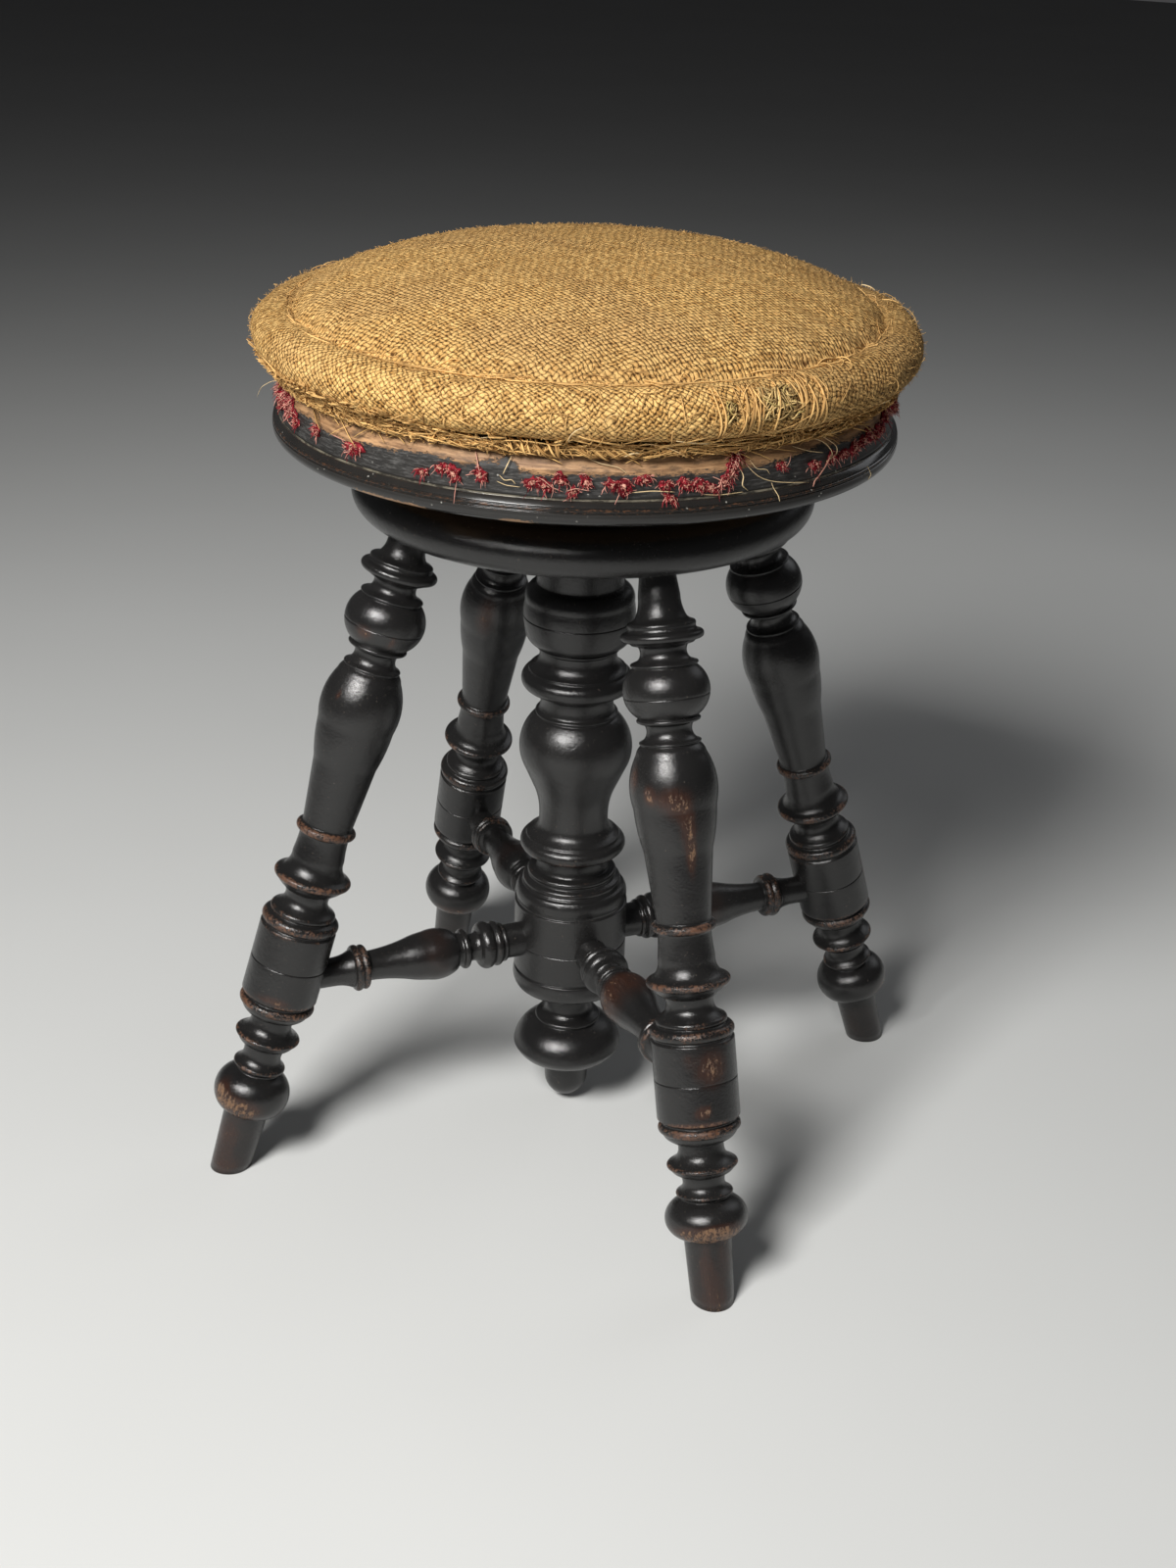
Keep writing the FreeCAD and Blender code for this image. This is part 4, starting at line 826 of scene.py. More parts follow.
def hessian(name, cloth, pitches, soil_and_shade, uneven):
    """Coarse plain-weave hessian: yarns over and under each other, with painted shade in the gaps between.

    Two coordinates in yarn pitches give each yarn a rounded back, the sine across it, that rises
    and dips with the sine along it; the sign of both sines' product says which yarn lies on top.
    Coarse noise bends the yarns, each yarn has its own thickness and tone, and fine noise varies
    both along it. The crowns are pale; painted shade turns the dips brown and the gaps nearly black.
    """
    shade = Shade(name)
    first, second = cloth(shade)
    own = shade.place()
    bend = shade.times_plus(shade.noise(own, 58, 4, 0.62), 0.0076, -0.0038)
    sway = shade.times_plus(shade.noise(own, 80, 4, 0.62), 0.0076, -0.0038)
    first = shade.times(shade.plus(first, bend), math.pi / pitches[0])
    second = shade.times(shade.plus(second, sway), math.pi / pitches[1])
    luck_a, luck_b = shade.luck(first), shade.luck(second)
    a, b = shade.maths("SINE", first), shade.maths("SINE", second)
    size_a, size_b = shade.maths("ABSOLUTE", a), shade.maths("ABSOLUTE", b)
    side = shade.maths("SIGN", shade.times(a, b))
    slub = shade.noise(own, 260, 3, 0.65)
    fuzz = shade.noise(own, 1700, 3, 0.7)
    thick = shade.times_plus(slub, 1.1, -0.5 - uneven / 2)
    thick_a = shade.times_plus(luck_a, uneven, thick)
    thick_b = shade.times_plus(luck_b, uneven, thick)
    round_a = shade.step(shade.plus(size_a, thick_a), 0.14, 0.9)
    round_b = shade.step(shade.plus(size_b, thick_b), 0.14, 0.9)
    bar_a = shade.times(side, shade.maths("POWER", size_b, 0.7))
    bar_b = shade.times(side, shade.maths("POWER", size_a, 0.7))
    rise_a = shade.times_plus(bar_a, 0.42, 0.58)
    rise_b = shade.times_plus(bar_b, -0.42, 0.58)
    lie_a, lie_b = shade.times(round_a, rise_a), shade.times(round_b, rise_b)
    height = shade.most(lie_a, lie_b)
    upper = shade.maths("GREATER_THAN", lie_a, lie_b)
    luck = shade.times_plus(upper, shade.minus(luck_a, luck_b), luck_b)
    broad = shade.noise(own, 14, 4, 0.6)
    tone = shade.times_plus(slub, 0.5, shade.times(fuzz, 0.5))
    tone = shade.plus(tone, shade.times_plus(luck, 0.3 * uneven, -0.15 * uneven))
    yarn = shade.blend(shade.step(tone, 0.36, 0.62), (0.56, 0.29, 0.08, 1), (0.97, 0.63, 0.24, 1))
    yarn = shade.blend(shade.step(broad, 0.42, 0.66, 0.0, 0.35), yarn, (0.6, 0.38, 0.17, 1))
    # Painted shade: the lower a point lies in the weave, the darker it is drawn, brown in the dips and nearly
    # black in the gaps.
    dip = shade.blend(0.62, yarn, (0.2, 0.095, 0.025, 1))
    colour = shade.blend(shade.step(height, 0.34, 0.82), dip, yarn)
    colour = shade.blend(shade.step(height, 0.04, 0.28), (0.06, 0.028, 0.009, 1), colour)
    # The soil function lays real soiling and painted shade together: shade in the bursts, the nail holes and
    # over the hem.
    stain, soil_and_shade_colour = soil_and_shade(shade, own)
    colour = shade.blend(stain, colour, soil_and_shade_colour)
    relief = shade.times_plus(fuzz, 0.3, height)
    normal = shade.bump(relief, 0.0016, 0.9)
    return shade.finish(colour, 0.88, normal, Specular_IOR_Level=0.12)


def cloth_from_map(shade):
    """The two cloth coordinates laid on the mesh as its map."""
    node = shade.nodes.new("ShaderNodeUVMap")
    node.uv_map = "cloth"
    split = shade.split(node.outputs[0])
    return split[0], split[1]


def roll_soil_and_shade(shade, own):
    """Painted shade in the bursts' hollows and far left, over soiling strongest at the right and back."""
    split = shade.split(own)
    far = shade.times_plus(split[0], 1.9, split[1])
    far = shade.step(far, 0.0, 0.36, 0.0, 0.42)
    # Painted shade: the roll's far left, where the lamp falls brightest, is darkened a little.
    far = shade.plus(far, shade.step(split[0], -0.06, -0.15, 0.0, 0.13))
    general = shade.step(shade.noise(own, 22, 4, 0.65), 0.55, 0.8, 0.0, 0.35)
    # Painted shade in the sunken hollows of the bursts.
    soiled = shade.most(shade.plus(general, far), shade.attribute("burst"))
    return soiled, (0.1, 0.05, 0.016, 1)


def hem_painted_shade(shade, own):
    """Painted shade over the turned-under edge: dark in its folds and under the roll, with paler patches."""
    return shade.step(shade.noise(own, 150, 4, 0.7), 0.3, 0.62, 0.25, 0.95), (0.05, 0.026, 0.009, 1)


section, around = np.meshgrid(
    np.radians(np.linspace(ROLL_FIRST_ANGLE, ROLL_LAST_ANGLE, ROLL_ROWS)),
    BACK + np.linspace(0, TURN, ROLL_SEGMENTS + 1),
    indexing="ij",
)
torn = burst_share(around, section)
roll_face = roll_points(around, section, -BURST_DEPTH * torn)[:, :-1]
roll_mesh = grid_mesh("edge_roll", roll_face * MM, closed_along=True)
# The bursts' share, for the painted shade that the roll's finish lays in their hollows.
store(roll_mesh, "burst", torn[:, :-1].ravel())
roll_map = bias_map(around, section, mean_radius=172.0, section_radius=14.0)
map_cloth(roll_mesh, *roll_map, closed_along=True)
roll_material = hessian(
    "roll_hessian", cloth_from_map, pitches=(0.0024, 0.0027), soil_and_shade=roll_soil_and_shade, uneven=0.3
)
roll = add_piece("edge_roll_hessian", roll_mesh, roll_material, "seat", "hessian", "edge_roll")

# The ropey hem at the roll's lower edge: a thin ring of uneven section, in millimetres
HEM_SEGMENTS = 720
HEM_ROWS = 26
HEM_SIZE = 2.3
HEM_RADIUS = 161.6
HEM_LEVEL = 461.0
HEM_TALLER = 1.1


def hem_wander(angle):
    """How much thicker, further out and higher than its mean the hem is, round the seat."""
    return swings(angle, 0.5, 22, 33), swings(angle, 0.6, 16, 35), swings(angle, 0.7, 18, 37)


hem_section, hem_around = np.meshgrid(
    full_turn(HEM_ROWS), BACK + np.linspace(0, TURN, HEM_SEGMENTS + 1), indexing="ij"
)
thicker, further, higher = hem_wander(hem_around)
hem_size = HEM_SIZE + lumps(hem_around, hem_section, 2.2, 70, 31) + thicker
hem_radius = HEM_RADIUS + further + hem_size * np.cos(hem_section)
hem_height = HEM_LEVEL + higher + hem_size * HEM_TALLER * np.sin(hem_section)
hem_points = stand_round(hem_radius, hem_around, hem_height)
hem_mesh = grid_mesh("roll_hem", hem_points[:, :-1] * MM, closed_along=True)
store(hem_mesh, "burst", np.zeros(HEM_ROWS * HEM_SEGMENTS))
hem_map = bias_map(hem_around, hem_section, mean_radius=120.0, section_radius=2.4)
map_cloth(hem_mesh, *hem_map, closed_along=True)
hem_material = hessian("hem_hessian", cloth_from_map, pitches=(0.0017, 0.0031), soil_and_shade=hem_painted_shade, uneven=0.5)
add_piece("roll_hem_hessian", hem_mesh, hem_material, "seat", "hessian")


# Pad. Hair and tow under one round of hessian, drawn down all round into the crease behind the
# roll, so it stands up as a low even dome with small pulls and holes where it was nailed.
PAD_RADIUS = 156.8
PAD_TOP = 520.2
PAD_RINGS = 160
PAD_SEGMENTS = 560
# (distance from the middle, angle, half width) of the holes that nails have left
NAIL_HOLES = [
    (153.0, 254.6, 1.7), (138.0, 352.1, 1.8), (152.5, 356.2, 2.0), (152.0, 335.2, 1.8),
    (150.0, 301.0, 1.2), (150.5, 226.0, 1.3),
]
NAIL_DEPTH = 1.6
PAD_EDGE_LEVEL = 491.4
TUCK_LEVEL = 479.0
# The crease's depth in millimetres, and (angle, how much deeper, half width in degrees) round it
CREASE_DEPTH = 5.6
CREASE_DEEPER = [(284, -2.4, 32), (345, 2.2, 24)]
# Where the round drop into the crease begins, and where the dome would reach its edge's level
DROP_FROM = 143.0
DOME_RADIUS = 159.6
# Pulls at the tacks: how many there are, how deep, and where they set in and over what width
PULL_COUNT = 31
PULL_DEPTH = 0.6
PULLS_FROM = 126.0
PULLS_OVER = 28.0


def nail_holes(radius, angle):
    """1 in the middle of each hole, falling off as a Gaussian."""
    total = np.zeros_like(radius)
    for away, degrees, size in NAIL_HOLES:
        hole = math.radians(degrees)
        apart = (radius * np.cos(angle) - away * math.cos(hole)) ** 2
        apart += (radius * np.sin(angle) - away * math.sin(hole)) ** 2
        total += np.exp(-apart / size**2)
    return np.clip(total, 0, 1)


def pad_height(radius, angle):
    """The dome's height: a cubic fall from the middle, then a round drop into the crease.

    The crease is shallow at the front and deep at the right. Soft lumps of the stuffing and
    shallow pulls at the tacks are added, fading towards the middle.
    """
    degrees = np.degrees(angle) % 360
    depth = CREASE_DEPTH
    for middle, deeper, wide in CREASE_DEEPER:
        depth = depth + deeper * np.exp(-(((degrees - middle) / wide) ** 2))
    dome = PAD_EDGE_LEVEL + (PAD_TOP - PAD_EDGE_LEVEL) * (1 - (radius / DOME_RADIUS) ** 3)
    edge = np.clip((radius - DROP_FROM) / (PAD_RADIUS - DROP_FROM), 0, 1)
    stuffing = lumps(angle, radius / 22.0, 0.55, 60, 21) * np.clip(radius / 60.0, 0, 1)
    near_edge = np.clip((radius - PULLS_FROM) / PULLS_OVER, 0, 1) ** 2
    pulls = PULL_DEPTH * np.cos(PULL_COUNT * angle + 0.8 * np.sin(5 * angle)) * near_edge
    return dome - depth * edge**2 + stuffing + pulls - NAIL_DEPTH * nail_holes(radius, angle)


# The cloth is let swell over its stuffing: held all round the crease, at stitches a little
# inside it and at the nail holes, it is blown up from inside for as many frames as the swelling
# takes. What is kept is how unevenly it rose round each ring, on top of the measured dome.
CLOTH_RINGS = 42
CLOTH_SEGMENTS = 144
CLOTH_FRAMES = 20
CLOTH_PRESSURE = 4.0
CLOTH_SPARE = 0.006
CLOTH_MOST = 1.6
STITCH_RING = 3
STITCH_GAP = 6


def swollen_cloth():
    """How far each point of a coarse round cloth rises in Blender's cloth simulation, in millimetres.

    Gives one row for each ring from the crease inwards, one more for the middle, and one column
    for each step of angle with the first repeated at the end.
    """
    away, turned = np.meshgrid(
        PAD_RADIUS * (1 - np.arange(CLOTH_RINGS) / CLOTH_RINGS), full_turn(CLOTH_SEGMENTS), indexing="ij"
    )
    start = stand_round(away, turned, pad_height(away, turned) - 2.0)
    under = start[:1] * (0.95, 0.95, 0) + (0, 0, TUCK_LEVEL)
    mesh = grid_mesh("swelling", np.concatenate([under, start]) * MM, pole_start=True, pole_end=True)
    trial = bpy.data.objects.new("swelling", mesh)
    scene.collection.objects.link(trial)
    held = np.clip(nail_holes(away, turned) * 1.5, 0, 1)
    held[STITCH_RING, ::STITCH_GAP] = 1
    held = np.concatenate([np.ones(2 * CLOTH_SEGMENTS), held[1:].ravel(), [1.0, 0.0]])
    pins = trial.vertex_groups.new(name="pins")
    for index in np.flatnonzero(held > 0.05):
        pins.add([int(index)], float(held[index]), "REPLACE")
    cloth = trial.modifiers.new("cloth", "CLOTH")
    cloth.settings.use_pressure = True
    cloth.settings.uniform_pressure_force = CLOTH_PRESSURE
    cloth.settings.shrink_min = -CLOTH_SPARE
    cloth.settings.vertex_group_mass = "pins"
    cloth.settings.effector_weights.gravity = 0
    cloth.collision_settings.use_collision = False
    cloth.point_cache.frame_start = 1
    cloth.point_cache.frame_end = CLOTH_FRAMES
    for frame_number in range(1, CLOTH_FRAMES + 1):
        scene.frame_set(frame_number)
    settled = trial.evaluated_get(bpy.context.evaluated_depsgraph_get()).to_mesh()
    places = np.empty(3 * len(settled.vertices), np.float32)
    settled.vertices.foreach_get("co", places)
    scene.frame_set(1)
    bpy.data.objects.remove(trial)
    bpy.data.meshes.remove(mesh)
    height = places.reshape(-1, 3)[:, 2] / MM
    rise = height[CLOTH_SEGMENTS:-2].reshape(CLOTH_RINGS, CLOTH_SEGMENTS) - start[..., 2]
    rise = np.clip(rise - rise.mean(1, keepdims=True), -CLOTH_MOST, CLOTH_MOST)
    rise = np.vstack([rise, np.zeros(CLOTH_SEGMENTS)])
    return np.hstack([rise, rise[:, :1]])


def settled_height(radius, angle):
    """The dome's height with the simulated swelling, read off its coarse grid.

    Between the grid's points the swelling is mixed by how near each of the four is.
    """
    ring = np.clip((1 - radius / PAD_RADIUS) * CLOTH_RINGS, 0, CLOTH_RINGS - 0.001)
    step = (angle / TURN) % 1 * CLOTH_SEGMENTS
    i, j = ring.astype(int), np.minimum(step.astype(int), CLOTH_SEGMENTS - 1)
    down, across = ring - i, step - j
    outer = SWELLING[i, j] * (1 - across) + SWELLING[i, j + 1] * across
    inner = SWELLING[i + 1, j] * (1 - across) + SWELLING[i + 1, j + 1] * across
    return pad_height(radius, angle) + outer * (1 - down) + inner * down


SWELLING = swollen_cloth()
ring = PAD_RADIUS * np.linspace(1, 0, PAD_RINGS, endpoint=False) ** 0.75
pad_r, pad_a = np.meshgrid(ring, full_turn(PAD_SEGMENTS), indexing="ij")
pad_r = pad_r + swings(pad_a, 0.25, 9, 17) * (pad_r / PAD_RADIUS)
pad_face = stand_round(pad_r, pad_a, settled_height(pad_r, pad_a))
tuck = pad_face[:1] * (0.95, 0.95, 0) + (0, 0, TUCK_LEVEL)
pad_points = np.concatenate([tuck, pad_face])
pad_mesh = grid_mesh("seat_pad", pad_points * MM, pole_start=True, pole_end=True)
# The nail holes' share, for the painted shade that the pad's finish lays in them.
holes = np.concatenate([np.zeros((1, PAD_SEGMENTS)), nail_holes(pad_r, pad_a)])
store(pad_mesh, "burst", holes.ravel())
# The directions across the two sets of yarns, in degrees
YARN_DIRECTIONS = (62.0, 143.0)


def pad_cloth(shade):
    """Distances across the two sets of yarns, which cross the seat a little off square."""
    split = shade.split(shade.place())
    distances = []
    for degrees in YARN_DIRECTIONS:
        lean = math.radians(degrees)
        across = shade.times(split[0], math.cos(lean))
        distances.append(shade.times_plus(split[1], math.sin(lean), across))
    return distances


def pad_soil_and_shade(shade, own):
    """Brown clouds of old soiling, stronger towards the back, and painted shade in the nail holes."""
    split = shade.split(own)
    back = shade.step(split[1], -0.05, 0.13, 0.3, 1.0)
    cloud = shade.step(shade.noise(own, 13, 4, 0.62), 0.36, 0.74, 0.16, 0.56)
    # Painted shade in the sunken nail holes.
    holes = shade.step(shade.attribute("burst"), 0.35, 0.8)
    return shade.most(shade.times(cloud, back), holes), (0.15, 0.068, 0.02, 1)


pad_material = hessian("pad_hessian", pad_cloth, pitches=(0.0023, 0.00275), soil_and_shade=pad_soil_and_shade, uneven=0.16)
pad = add_piece("seat_pad_hessian", pad_mesh, pad_material, "seat", "hessian", "seat_crown")


# Frayed jute. Where the hessian was torn off under the roll its yarns have come apart into a
# ragged fringe, with longer strands lying along it, and a fine fuzz stands all over the cloth.
HEM_FOOT = 458.2
# (height, how far out the rim, the hem and the roll reach there), in millimetres
FACE = [
    (423.0, 163.0), (430.0, 166.4), (434.0, 165.8), (436.5, 163.4), (437.6, 163.0), (450.5, 162.9),
    (457.3, 160.4), (459.0, 164.6), (463.5, 164.8), (466.0, 167.5), (470.0, 172.6), (478.0, 176.0),
    (485.0, 173.6), (490.5, 161.0),
]
FRAY_RADIUS = 168.0


def face_radius(height):
    """How far out the side of the seat reaches at each height, read off between the rows."""
    return np.interp(height, *zip(*FACE))


def strand_paths(angle, height, length, heading, curl, lift, steps=6, sag=0.0):
    """Paths of fibres that lie along the side of the seat, in millimetres.

    Each sets off at its heading (0 along the rim, a quarter turn straight up), turns evenly by
    its curl, sinks by the square of its length, and stands off the face by its lift at its tip.
    """
    share = np.linspace(0, 1, steps)
    turning = heading[:, None] + curl[:, None] * share
    piece = length[:, None] / (steps - 1)
    along = np.cumsum(np.cos(turning) * piece, 1) - np.cos(turning[:, :1]) * piece
    up = np.cumsum(np.sin(turning) * piece, 1) - np.sin(turning[:, :1]) * piece
    level = height[:, None] + up - sag * length[:, None] * share**2
    out = face_radius(level) + 0.35 + lift[:, None] * share**1.3
    place = angle[:, None] + along / FRAY_RADIUS
    return stand_round(out, place, level)


def fibre_mesh(name, paths, thickness, tones):
    """Many thin fibres as one mesh: a three-sided tube along each path, closed at both ends.

    Each tube's corners stand off the path along two directions square to its run, and it narrows
    to its ends by the root of a parabola. Each fibre keeps its own tone.
    """
    count, steps = paths.shape[:2]
    run = np.gradient(paths, axis=1)
    run /= np.linalg.norm(run, axis=2, keepdims=True) + 1e-9
    lead = np.cross(run, np.array([0.31, 0.47, 0.83]))
    lead /= np.linalg.norm(lead, axis=2, keepdims=True) + 1e-9
    other = np.cross(run, lead)
    share = np.linspace(0, 1, steps)
    girth = thickness[:, None] * (0.4 + 0.6 * np.sqrt(4 * share * (1 - share)))
    angle = (np.arange(3) * TURN / 3)[:, None]
    ring = np.cos(angle) * lead[:, :, None] + np.sin(angle) * other[:, :, None]
    corners = paths[:, :, None] + ring * girth[:, :, None, None]
    first = (np.arange(count)[:, None] * steps + np.arange(steps)) * 3
    near, far = first[:, :-1, None] + np.arange(3), first[:, 1:, None] + np.arange(3)
    sides = np.stack([near, np.roll(near, -1, 2), np.roll(far, -1, 2), far], -1).reshape(-1, 4)
    caps = np.concatenate([first[:, :1] + [0, 2, 1], first[:, -1:] + [0, 1, 2]])
    mesh = bpy.data.meshes.new(name)
    mesh.from_pydata((corners.reshape(-1, 3) * MM).tolist(), [], sides.tolist() + caps.tolist())
    mesh.shade_smooth()
    store(mesh, "tone", np.repeat(tones, steps * 3))
    return mesh


def add_fibres(name, paths, thickness, tones, finish):
    """Puts fibres in the scene as one piece of the seat."""
    add_piece(name, fibre_mesh(name, paths, thickness, tones), finish, "seat", "hessian")


def fibre_finish(name, dark, pale, odd, odd_from):
    """Dry matt fibre: each one's tone runs from dark to pale, and the last few take an odd colour."""
    shade = Shade(name)
    tone = shade.attribute("tone")
    own = shade.place()
    mottle = shade.noise(own, 620, 3, 0.65)
    uneven_tone = shade.times_plus(mottle, 0.3, shade.plus(tone, -0.15))
    plain = shade.blend(uneven_tone, dark, pale)
    colour = shade.blend(shade.step(tone, odd_from, odd_from + 0.01), plain, odd)
    roughness = shade.times_plus(mottle, 0.2, 0.7)
    return shade.finish(colour, roughness, shade.bump(mottle, 0.0003, 0.6), Specular_IOR_Level=0.2)


jute = fibre_finish(
    "jute", dark=(0.21, 0.096, 0.026, 1), pale=(0.95, 0.6, 0.23, 1),
    odd=(0.84, 0.64, 0.36, 1), odd_from=0.965,
)
chance = np.random.default_rng(41)


def scatter(low, high, count):
    """Random numbers spread evenly between two limits."""
    return chance.uniform(low, high, count)


# Short ends that hang and lie round the whole hem, every fourth of them pointing down
FRINGE_COUNT = 1500
fringe_heading = chance.normal(0, 0.55, FRINGE_COUNT) - math.pi * (chance.random(FRINGE_COUNT) < 0.5)
fringe_heading[::4] = chance.normal(-math.pi / 2, 0.8, len(fringe_heading[::4]))
fringe = strand_paths(
    angle=scatter(0, TURN, FRINGE_COUNT), height=scatter(458.6, 464.8, FRINGE_COUNT),
    length=scatter(4, 11, FRINGE_COUNT), heading=fringe_heading,
    curl=scatter(-1.5, 1.5, FRINGE_COUNT), lift=scatter(0.1, 2.4, FRINGE_COUNT), sag=0.05,
)
fringe[..., 2] = np.maximum(fringe[..., 2], HEM_FOOT + chance.exponential(0.9, (FRINGE_COUNT, 1)) - 1.5)
fringe_tones = chance.beta(1.1, 1.1, FRINGE_COUNT)
add_fibres("fringe_short", fringe, scatter(0.2, 0.46, FRINGE_COUNT), fringe_tones, jute)

# Longer strands lie along the fray, most of them at the right and the left of the front.
STRAND_COUNT = 300
STRANDS_RIGHT = 90
STRANDS_LEFT = 80
strand_angle = scatter(0, TURN, STRAND_COUNT)
strand_angle[:STRANDS_RIGHT] = np.radians(scatter(298, 350, STRANDS_RIGHT))
strand_angle[STRANDS_RIGHT:STRANDS_RIGHT + STRANDS_LEFT] = np.radians(scatter(222, 272, STRANDS_LEFT))
strand_heading = chance.normal(0, 0.16, STRAND_COUNT) + math.pi * (chance.random(STRAND_COUNT) < 0.5)
strands = strand_paths(
    angle=strand_angle, height=scatter(458.6, 466.5, STRAND_COUNT),
    length=scatter(12, 34, STRAND_COUNT), heading=strand_heading,
    curl=scatter(-0.5, 0.5, STRAND_COUNT), lift=scatter(0.5, 2.6, STRAND_COUNT), steps=9, sag=0.02,
)
strand_tones = scatter(0.1, 1, STRAND_COUNT)
add_fibres("fringe_long", strands, scatter(0.22, 0.46, STRAND_COUNT), strand_tones, jute)

# Chaff: broken ends of yarn and straw caught in the fray at the left of the front.
CHAFF_COUNT = 420
chaff_heading = chance.normal(0, 0.6, CHAFF_COUNT) + math.pi * (chance.random(CHAFF_COUNT) < 0.5)
chaff_angle = np.radians(chance.normal(238, 16, CHAFF_COUNT))
chaff = strand_paths(
    angle=chaff_angle, height=scatter(459.6, 471.5, CHAFF_COUNT),
    length=scatter(3, 8, CHAFF_COUNT), heading=chaff_heading,
    curl=scatter(-0.5, 0.5, CHAFF_COUNT), lift=scatter(0.2, 3.6, CHAFF_COUNT), steps=4,
)
add_fibres("fringe_chaff", chaff, scatter(0.3, 0.8, CHAFF_COUNT), scatter(0.05, 0.95, CHAFF_COUNT), jute)

# Thick yarn ends that wrap the hem at a slant, like the lay of a rope, in clusters that each
# lean one way or the other. Each runs over the hem's section from its top down to its foot, a
# little outside it and further at its lower end, and slips evenly sideways by its slant.
WRAP_CLUSTERS = 34
WRAPS_EACH = 17
WRAP_COUNT = WRAP_CLUSTERS * WRAPS_EACH
WRAP_STEPS = 8
WRAP_SIZE = 2.9
WRAP_RADIUS = 162.0
WRAP_LEVEL = 461.7
cluster_angle = full_turn(WRAP_CLUSTERS) + chance.normal(0, 0.05, WRAP_CLUSTERS)
wrap_angle = np.repeat(cluster_angle, WRAPS_EACH) + scatter(-0.075, 0.075, WRAP_COUNT)
cluster_slant = np.repeat(chance.normal(0.024, 0.03, WRAP_CLUSTERS), WRAPS_EACH)
wrap_turn = np.radians(np.linspace(100, -68, WRAP_STEPS)) + chance.normal(0, 0.2, (WRAP_COUNT, 1))
thicker, further, higher = [line[:, None] for line in hem_wander(wrap_angle)]
wrap_size = WRAP_SIZE + thicker + chance.normal(0, 0.5, (WRAP_COUNT, 1))
wrap_flare = 0.35 * scatter(0, 1.6, WRAP_COUNT)[:, None] ** 2
wrap_size = wrap_size + wrap_flare * np.linspace(0, 1, WRAP_STEPS) ** 3
slant = cluster_slant[:, None] + chance.normal(0, 0.009, (WRAP_COUNT, 1))
wrap_place = wrap_angle[:, None] + slant * np.linspace(-1, 1, WRAP_STEPS)
wrap_out = WRAP_RADIUS + further + wrap_size * np.cos(wrap_turn)
wrap_level = WRAP_LEVEL + higher + HEM_TALLER * wrap_size * np.sin(wrap_turn)
wraps = stand_round(wrap_out, wrap_place, wrap_level)
wrap_tones = chance.beta(1.0, 0.9, WRAP_COUNT) * 0.95
add_fibres("hem_wraps", wraps, scatter(0.42, 0.9, WRAP_COUNT), wrap_tones, jute)

# Loose yarn ends that curl on the face of the roll: each heading turns evenly, and the path is
# the running sum of its cosine along the roll and of its sine round the section.
CURL_COUNT = 110
CURLS_IN_FRONT = 40
ROLL_OUTER = 172.0
ROLL_SECTION = 14.5
curl_angle, curl_turn = scatter(0, TURN, CURL_COUNT), scatter(-20, 115, CURL_COUNT)
curl_angle[:CURLS_IN_FRONT] = np.radians(scatter(268, 345, CURLS_IN_FRONT))
share = np.linspace(0, 1, 9)
heading = scatter(0, TURN, CURL_COUNT)[:, None] + scatter(-2.4, 2.4, CURL_COUNT)[:, None] * share
reach = scatter(0.6, 2.4, CURL_COUNT)[:, None]
curl_place = curl_angle[:, None] + np.cumsum(np.cos(heading), 1) * reach / ROLL_OUTER
curl_section = np.radians(curl_turn)[:, None] + np.cumsum(np.sin(heading), 1) * reach / ROLL_SECTION
curls = roll_points(curl_place, curl_section, 0.5 + 0.9 * np.sin(share * 3.1))
add_fibres("roll_ends", curls, scatter(0.16, 0.36, CURL_COUNT), scatter(0.4, 0.98, CURL_COUNT), jute)

# Fine fuzz over the roll and the pad, as many hairs on each: a hair is a short line from its
# root to its tip, a little way off the cloth, bowed outwards as a parabola.
HAIR_COUNT = 3600
hair_angle = scatter(0, TURN, HAIR_COUNT)
hair_section = np.radians(scatter(-70, 120, HAIR_COUNT))
root = roll_points(hair_angle, hair_section)
outward = roll_points(hair_angle, hair_section, 1.0) - root
swirl = chance.normal(0, 1, (HAIR_COUNT, 3))
tip = root + outward * scatter(0.2, 1.5, HAIR_COUNT)[:, None] + swirl * 0.9
pad_angle, pad_away = scatter(0, TURN, HAIR_COUNT), PAD_RADIUS * np.sqrt(scatter(0, 1, HAIR_COUNT))
pad_root = stand_round(pad_away, pad_angle, settled_height(pad_away, pad_angle))
strayed = [chance.normal(0, 1.2, HAIR_COUNT), chance.normal(0, 1.2, HAIR_COUNT)]
pad_tip = pad_root + np.stack(strayed + [scatter(0.1, 0.9, HAIR_COUNT)], -1)
roots, tips = np.concatenate([root, pad_root]), np.concatenate([tip, pad_tip])
bow = np.concatenate([outward * 0.5, np.tile([0, 0, 0.35], (HAIR_COUNT, 1))])
share = np.linspace(0, 1, 4)[None, :, None]
hairs = roots[:, None] * (1 - share) + tips[:, None] * share + bow[:, None] * 4 * share * (1 - share)
hair_widths, hair_tones = scatter(0.07, 0.15, len(hairs)), scatter(0.3, 0.9, len(hairs))
add_fibres("cloth_fuzz", hairs, hair_widths, hair_tones, jute)

# Loose ends along the crease, resting on whichever stands higher there, the pad or the roll.
CREASE_COUNT = 260
CREASE_RADIUS = 156
LONG_WIDTH = 0.46
LONG_TONE = 0.95
